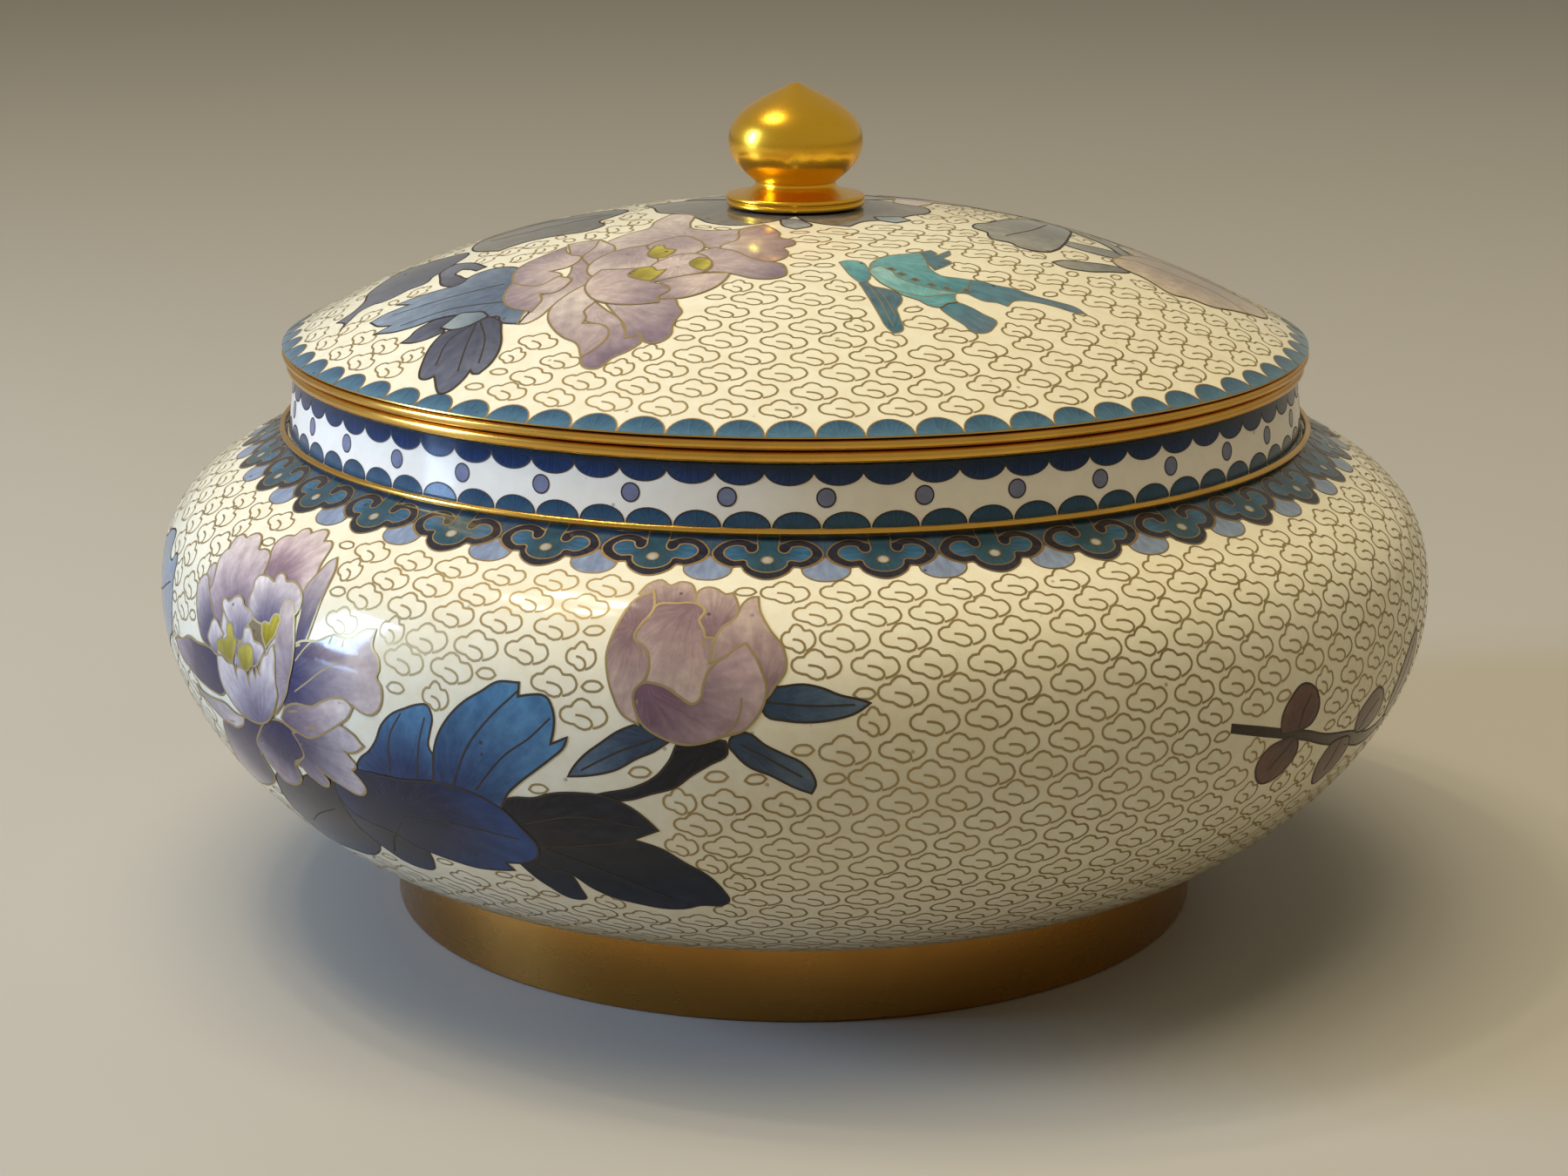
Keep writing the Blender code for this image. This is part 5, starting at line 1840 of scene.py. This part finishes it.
def lay_rows(name, slot, section, lengths, pitch, covered, phases):
    """Cover a wall with rows of clouds, with smaller figures where a whole cloud doesn't fit."""
    bm = bmesh.new()
    laid = {kind: 0 for kind, reach, squeeze, shifts in FIGURES}
    for row, length in enumerate(lengths):
        radius = section.radius(length)
        count = round(math.tau * radius / pitch)
        for number in range(count):
            lean = Matrix.Rotation(math.radians(rng.uniform(-LEAN, LEAN)), 2) * rng.uniform(*CLOUD_SIZES)
            angle = phases[row % 2] / radius + math.tau * number / count
            angle += rng.uniform(-SWAY, SWAY) / radius
            wrap = wall_chart(section, math.degrees(angle), length)
            drop = rng.uniform(-DROP, DROP)
            for kind, reach, squeeze, shifts in FIGURES:
                fits = [
                    shift for shift in shifts
                    if not any(covered(angle + (x + shift) / radius, length + y) for x, y in reach)
                ]
                if not fits:
                    continue
                if kind == "loop":
                    ends = [fits[0]] if fits[0] == 0.0 else fits
                    for shift in ends:
                        line = [lean @ point + Vector((shift, drop)) for point in loop_line]
                        add_wire(bm, line, wrap, CELL_LIFT)
                    laid[kind] += len(ends)
                    break
                narrow = Matrix(((squeeze, 0.0), (0.0, 1.0)))
                line = [lean @ (narrow @ point) + Vector((fits[0], drop)) for point in cloud_line]
                add_wire(bm, line, wrap, CELL_LIFT, closed=False)
                laid[kind] += 1
                break
    face_outwards(bm)
    print(name, laid)
    finish_piece(name, bm, [CLOUD_WIRE], slot=slot)


def row_lengths(first, last, pitch):
    """Lengths down a wall from the first row to the last, a pitch apart."""
    return [first + pitch * row for row in range(int((last - first) / pitch) + 1)]


# %% Clouds on the belly, from below the collar down to the foot
ROW_MARGIN = 3.0
BELLY_FIRST_ROW = 14.0
BELLY_ROW_PITCH = 4.75
BELLY_CLOUD_PITCH = 9.7
BELLY_PHASES = (8.0, 3.2)

belly_rows = row_lengths(BELLY_FIRST_ROW, BELLY.total - ROW_MARGIN, BELLY_ROW_PITCH)
lay_rows("belly_clouds", "bowl_enamel", BELLY, belly_rows, BELLY_CLOUD_PITCH, belly_covered, BELLY_PHASES)
print(len(belly_rows), "rows on the belly")

# %% Clouds on the lid, from its scallops up to the knob
LID_FIRST_ROW = 7.4
LID_ROW_PITCH = 5.0
LID_CLOUD_PITCH = 10.2
LID_PHASES = (8.0, 3.0)

heights_up = row_lengths(LID_FIRST_ROW, DOME.total - ROW_MARGIN, LID_ROW_PITCH)
lid_rows = [DOME.total - length for length in heights_up]
lay_rows("lid_clouds", "lid_enamel", DOME, lid_rows, LID_CLOUD_PITCH, lid_covered, LID_PHASES)
print(len(lid_rows), "rows on the lid")

# %% [markdown]
# ## Floor, light and camera
# The pot stands on a plain pale floor, wide enough that its edge is never seen.

# %% The floor
FLOOR_SIZE = 12.0
FLOOR_PAINT = paint(174, 169, 160)
FLOOR_ROUGHNESS = 0.6

floor_bm = bmesh.new()
bmesh.ops.create_grid(floor_bm, x_segments=1, y_segments=1, size=0.5 * FLOOR_SIZE)
floor_mesh = bpy.data.meshes.new("floor")
floor_bm.to_mesh(floor_mesh)
floor_bm.free()
floor_material = bpy.data.materials.new("pale_floor")
floor_material.use_nodes = True
floor_shader = floor_material.node_tree.nodes["Principled BSDF"]
floor_shader.inputs["Base Color"].default_value = FLOOR_PAINT
floor_shader.inputs["Roughness"].default_value = FLOOR_ROUGHNESS
floor_mesh.materials.append(floor_material)
floor = bpy.data.objects.new("floor", floor_mesh)
bpy.context.scene.collection.objects.link(floor)
print("floor", FLOOR_SIZE, "m across")

# %% [markdown]
# Glossy enamel shows every lamp as a mirror image, so a light here is placed for what it reflects
# as much as for what it lights. A cool softbox at the left gives the window-like highlights on
# neck and belly, and a small panel at its foot, seen in reflections only, does the same lower
# down. A large warm light high above lights the lid and the shoulder, and two weak ones, in front
# and at the right, fill the shadows. Those three are left out of reflections, where they would
# show as large pale patches.


# %% The lights
def softbox(name, place, target, width, height, power, colour):
    """An area light at a place that looks at a target."""
    light = bpy.data.lights.new(name, "AREA")
    light.shape = "RECTANGLE"
    light.size = width
    light.size_y = height
    light.energy = power
    light.color = colour
    lamp = bpy.data.objects.new(name, light)
    lamp.location = place
    lamp.rotation_euler = (Vector(target) - Vector(place)).to_track_quat("-Z", "Y").to_euler()
    lamp.visible_camera = False
    bpy.context.scene.collection.objects.link(lamp)
    return lamp


MIDDLE = (0.0, 0.0, 0.08)
WARM = (1.0, 0.889, 0.634)
DAYLIGHT = (0.425, 0.624, 1.0)

softbox("window", (-1.15, -0.16, 0.43), MIDDLE, width=0.22, height=0.54, power=14.75, colour=DAYLIGHT)
low_window = softbox(
    "window_foot", (-1.15, -0.21, 0.024), (0.0, -0.1, 0.1),
    width=0.17, height=0.022, power=0.28, colour=DAYLIGHT,
)
low_window.visible_diffuse = False
fills = [
    softbox("overhead", (-0.25, -0.25, 3.0), MIDDLE, width=2.0, height=2.0, power=63.5, colour=WARM),
    softbox("front_fill", (-0.45, -0.75, 1.75), MIDDLE, width=1.3, height=1.0, power=3.5, colour=WARM),
    softbox("right_fill", (1.5, -0.3, 1.4), MIDDLE, width=1.0, height=1.0, power=3.5, colour=WARM),
]
for fill in fills:
    fill.visible_glossy = False
print("softboxes:", 2 + len(fills))

# %% [markdown]
# A lamp of five small bulbs in a ring gives a reflection that is a cluster of bright spots.

# %% Bulbs
BULBS = 5
BULB_RING = 0.13
BULB_X = -0.50
BULB_Y = 0.02
BULB_Z = 1.22
BULB_SIZE = 0.05
BULB_POWER = 0.9
BULB_LIGHT = (1.0, 0.86, 0.62)

for number in range(BULBS):
    turned = math.tau * number / BULBS
    place = (BULB_X + BULB_RING * math.cos(turned), BULB_Y + BULB_RING * math.sin(turned), BULB_Z)
    softbox(f"bulb_{number + 1}", place, MIDDLE, BULB_SIZE, BULB_SIZE, BULB_POWER, BULB_LIGHT)
print("bulbs:", BULBS)

# %% [markdown]
# The rest of the room is an even, warm world. Its light on the pot is weak, but what brass and
# glaze mirror of it has to be brighter, or the brass would look black, so a Light Path node tells
# the rays apart. The view transform is the plain one, so that the paints keep their colours.

# %% The room
ROOM_COLOUR = (1.0, 0.95, 0.8, 1.0)
ROOM_LIGHT = 0.08
ROOM_MIRRORED = 0.37

world = bpy.data.worlds.new("studio")
bpy.context.scene.world = world
world.use_nodes = True
background = world.node_tree.nodes["Background"]
background.inputs["Color"].default_value = ROOM_COLOUR
rays = world.node_tree.nodes.new("ShaderNodeLightPath")
room = remap(world.node_tree, rays.outputs["Is Glossy Ray"], 0.0, 1.0, ROOM_LIGHT, ROOM_MIRRORED)
world.node_tree.links.new(room, background.inputs["Strength"])
bpy.context.scene.view_settings.view_transform = "Standard"
print("room:", world.name, "strength", ROOM_LIGHT, "and", ROOM_MIRRORED, "in reflections")

# %% [markdown]
# The camera's place, tilt and lens were worked out from the rings of the pot, whose sizes and
# levels fix how wide and how open each one looks. It stands a little over half a metre in front
# and looks down by about fifteen degrees.

# %% The camera
CAMERA_PLACE = (-0.0021, -0.6127, 0.2225)
CAMERA_PITCH = math.radians(14.827)
CAMERA_ROLL = math.radians(0.105)
CAMERA_LENS = 72.3
SENSOR_WIDTH = 36.0

lens = bpy.data.cameras.new("camera")
lens.lens = CAMERA_LENS
lens.sensor_width = SENSOR_WIDTH
camera = bpy.data.objects.new("camera", lens)
camera.matrix_world = (
    Matrix.Translation(CAMERA_PLACE)
    @ Matrix.Rotation(math.radians(90.0) - CAMERA_PITCH, 4, "X")
    @ Matrix.Rotation(CAMERA_ROLL, 4, "Z")
)
bpy.context.scene.collection.objects.link(camera)
bpy.context.scene.camera = camera
print("camera", [round(value, 3) for value in camera.matrix_world.translation])
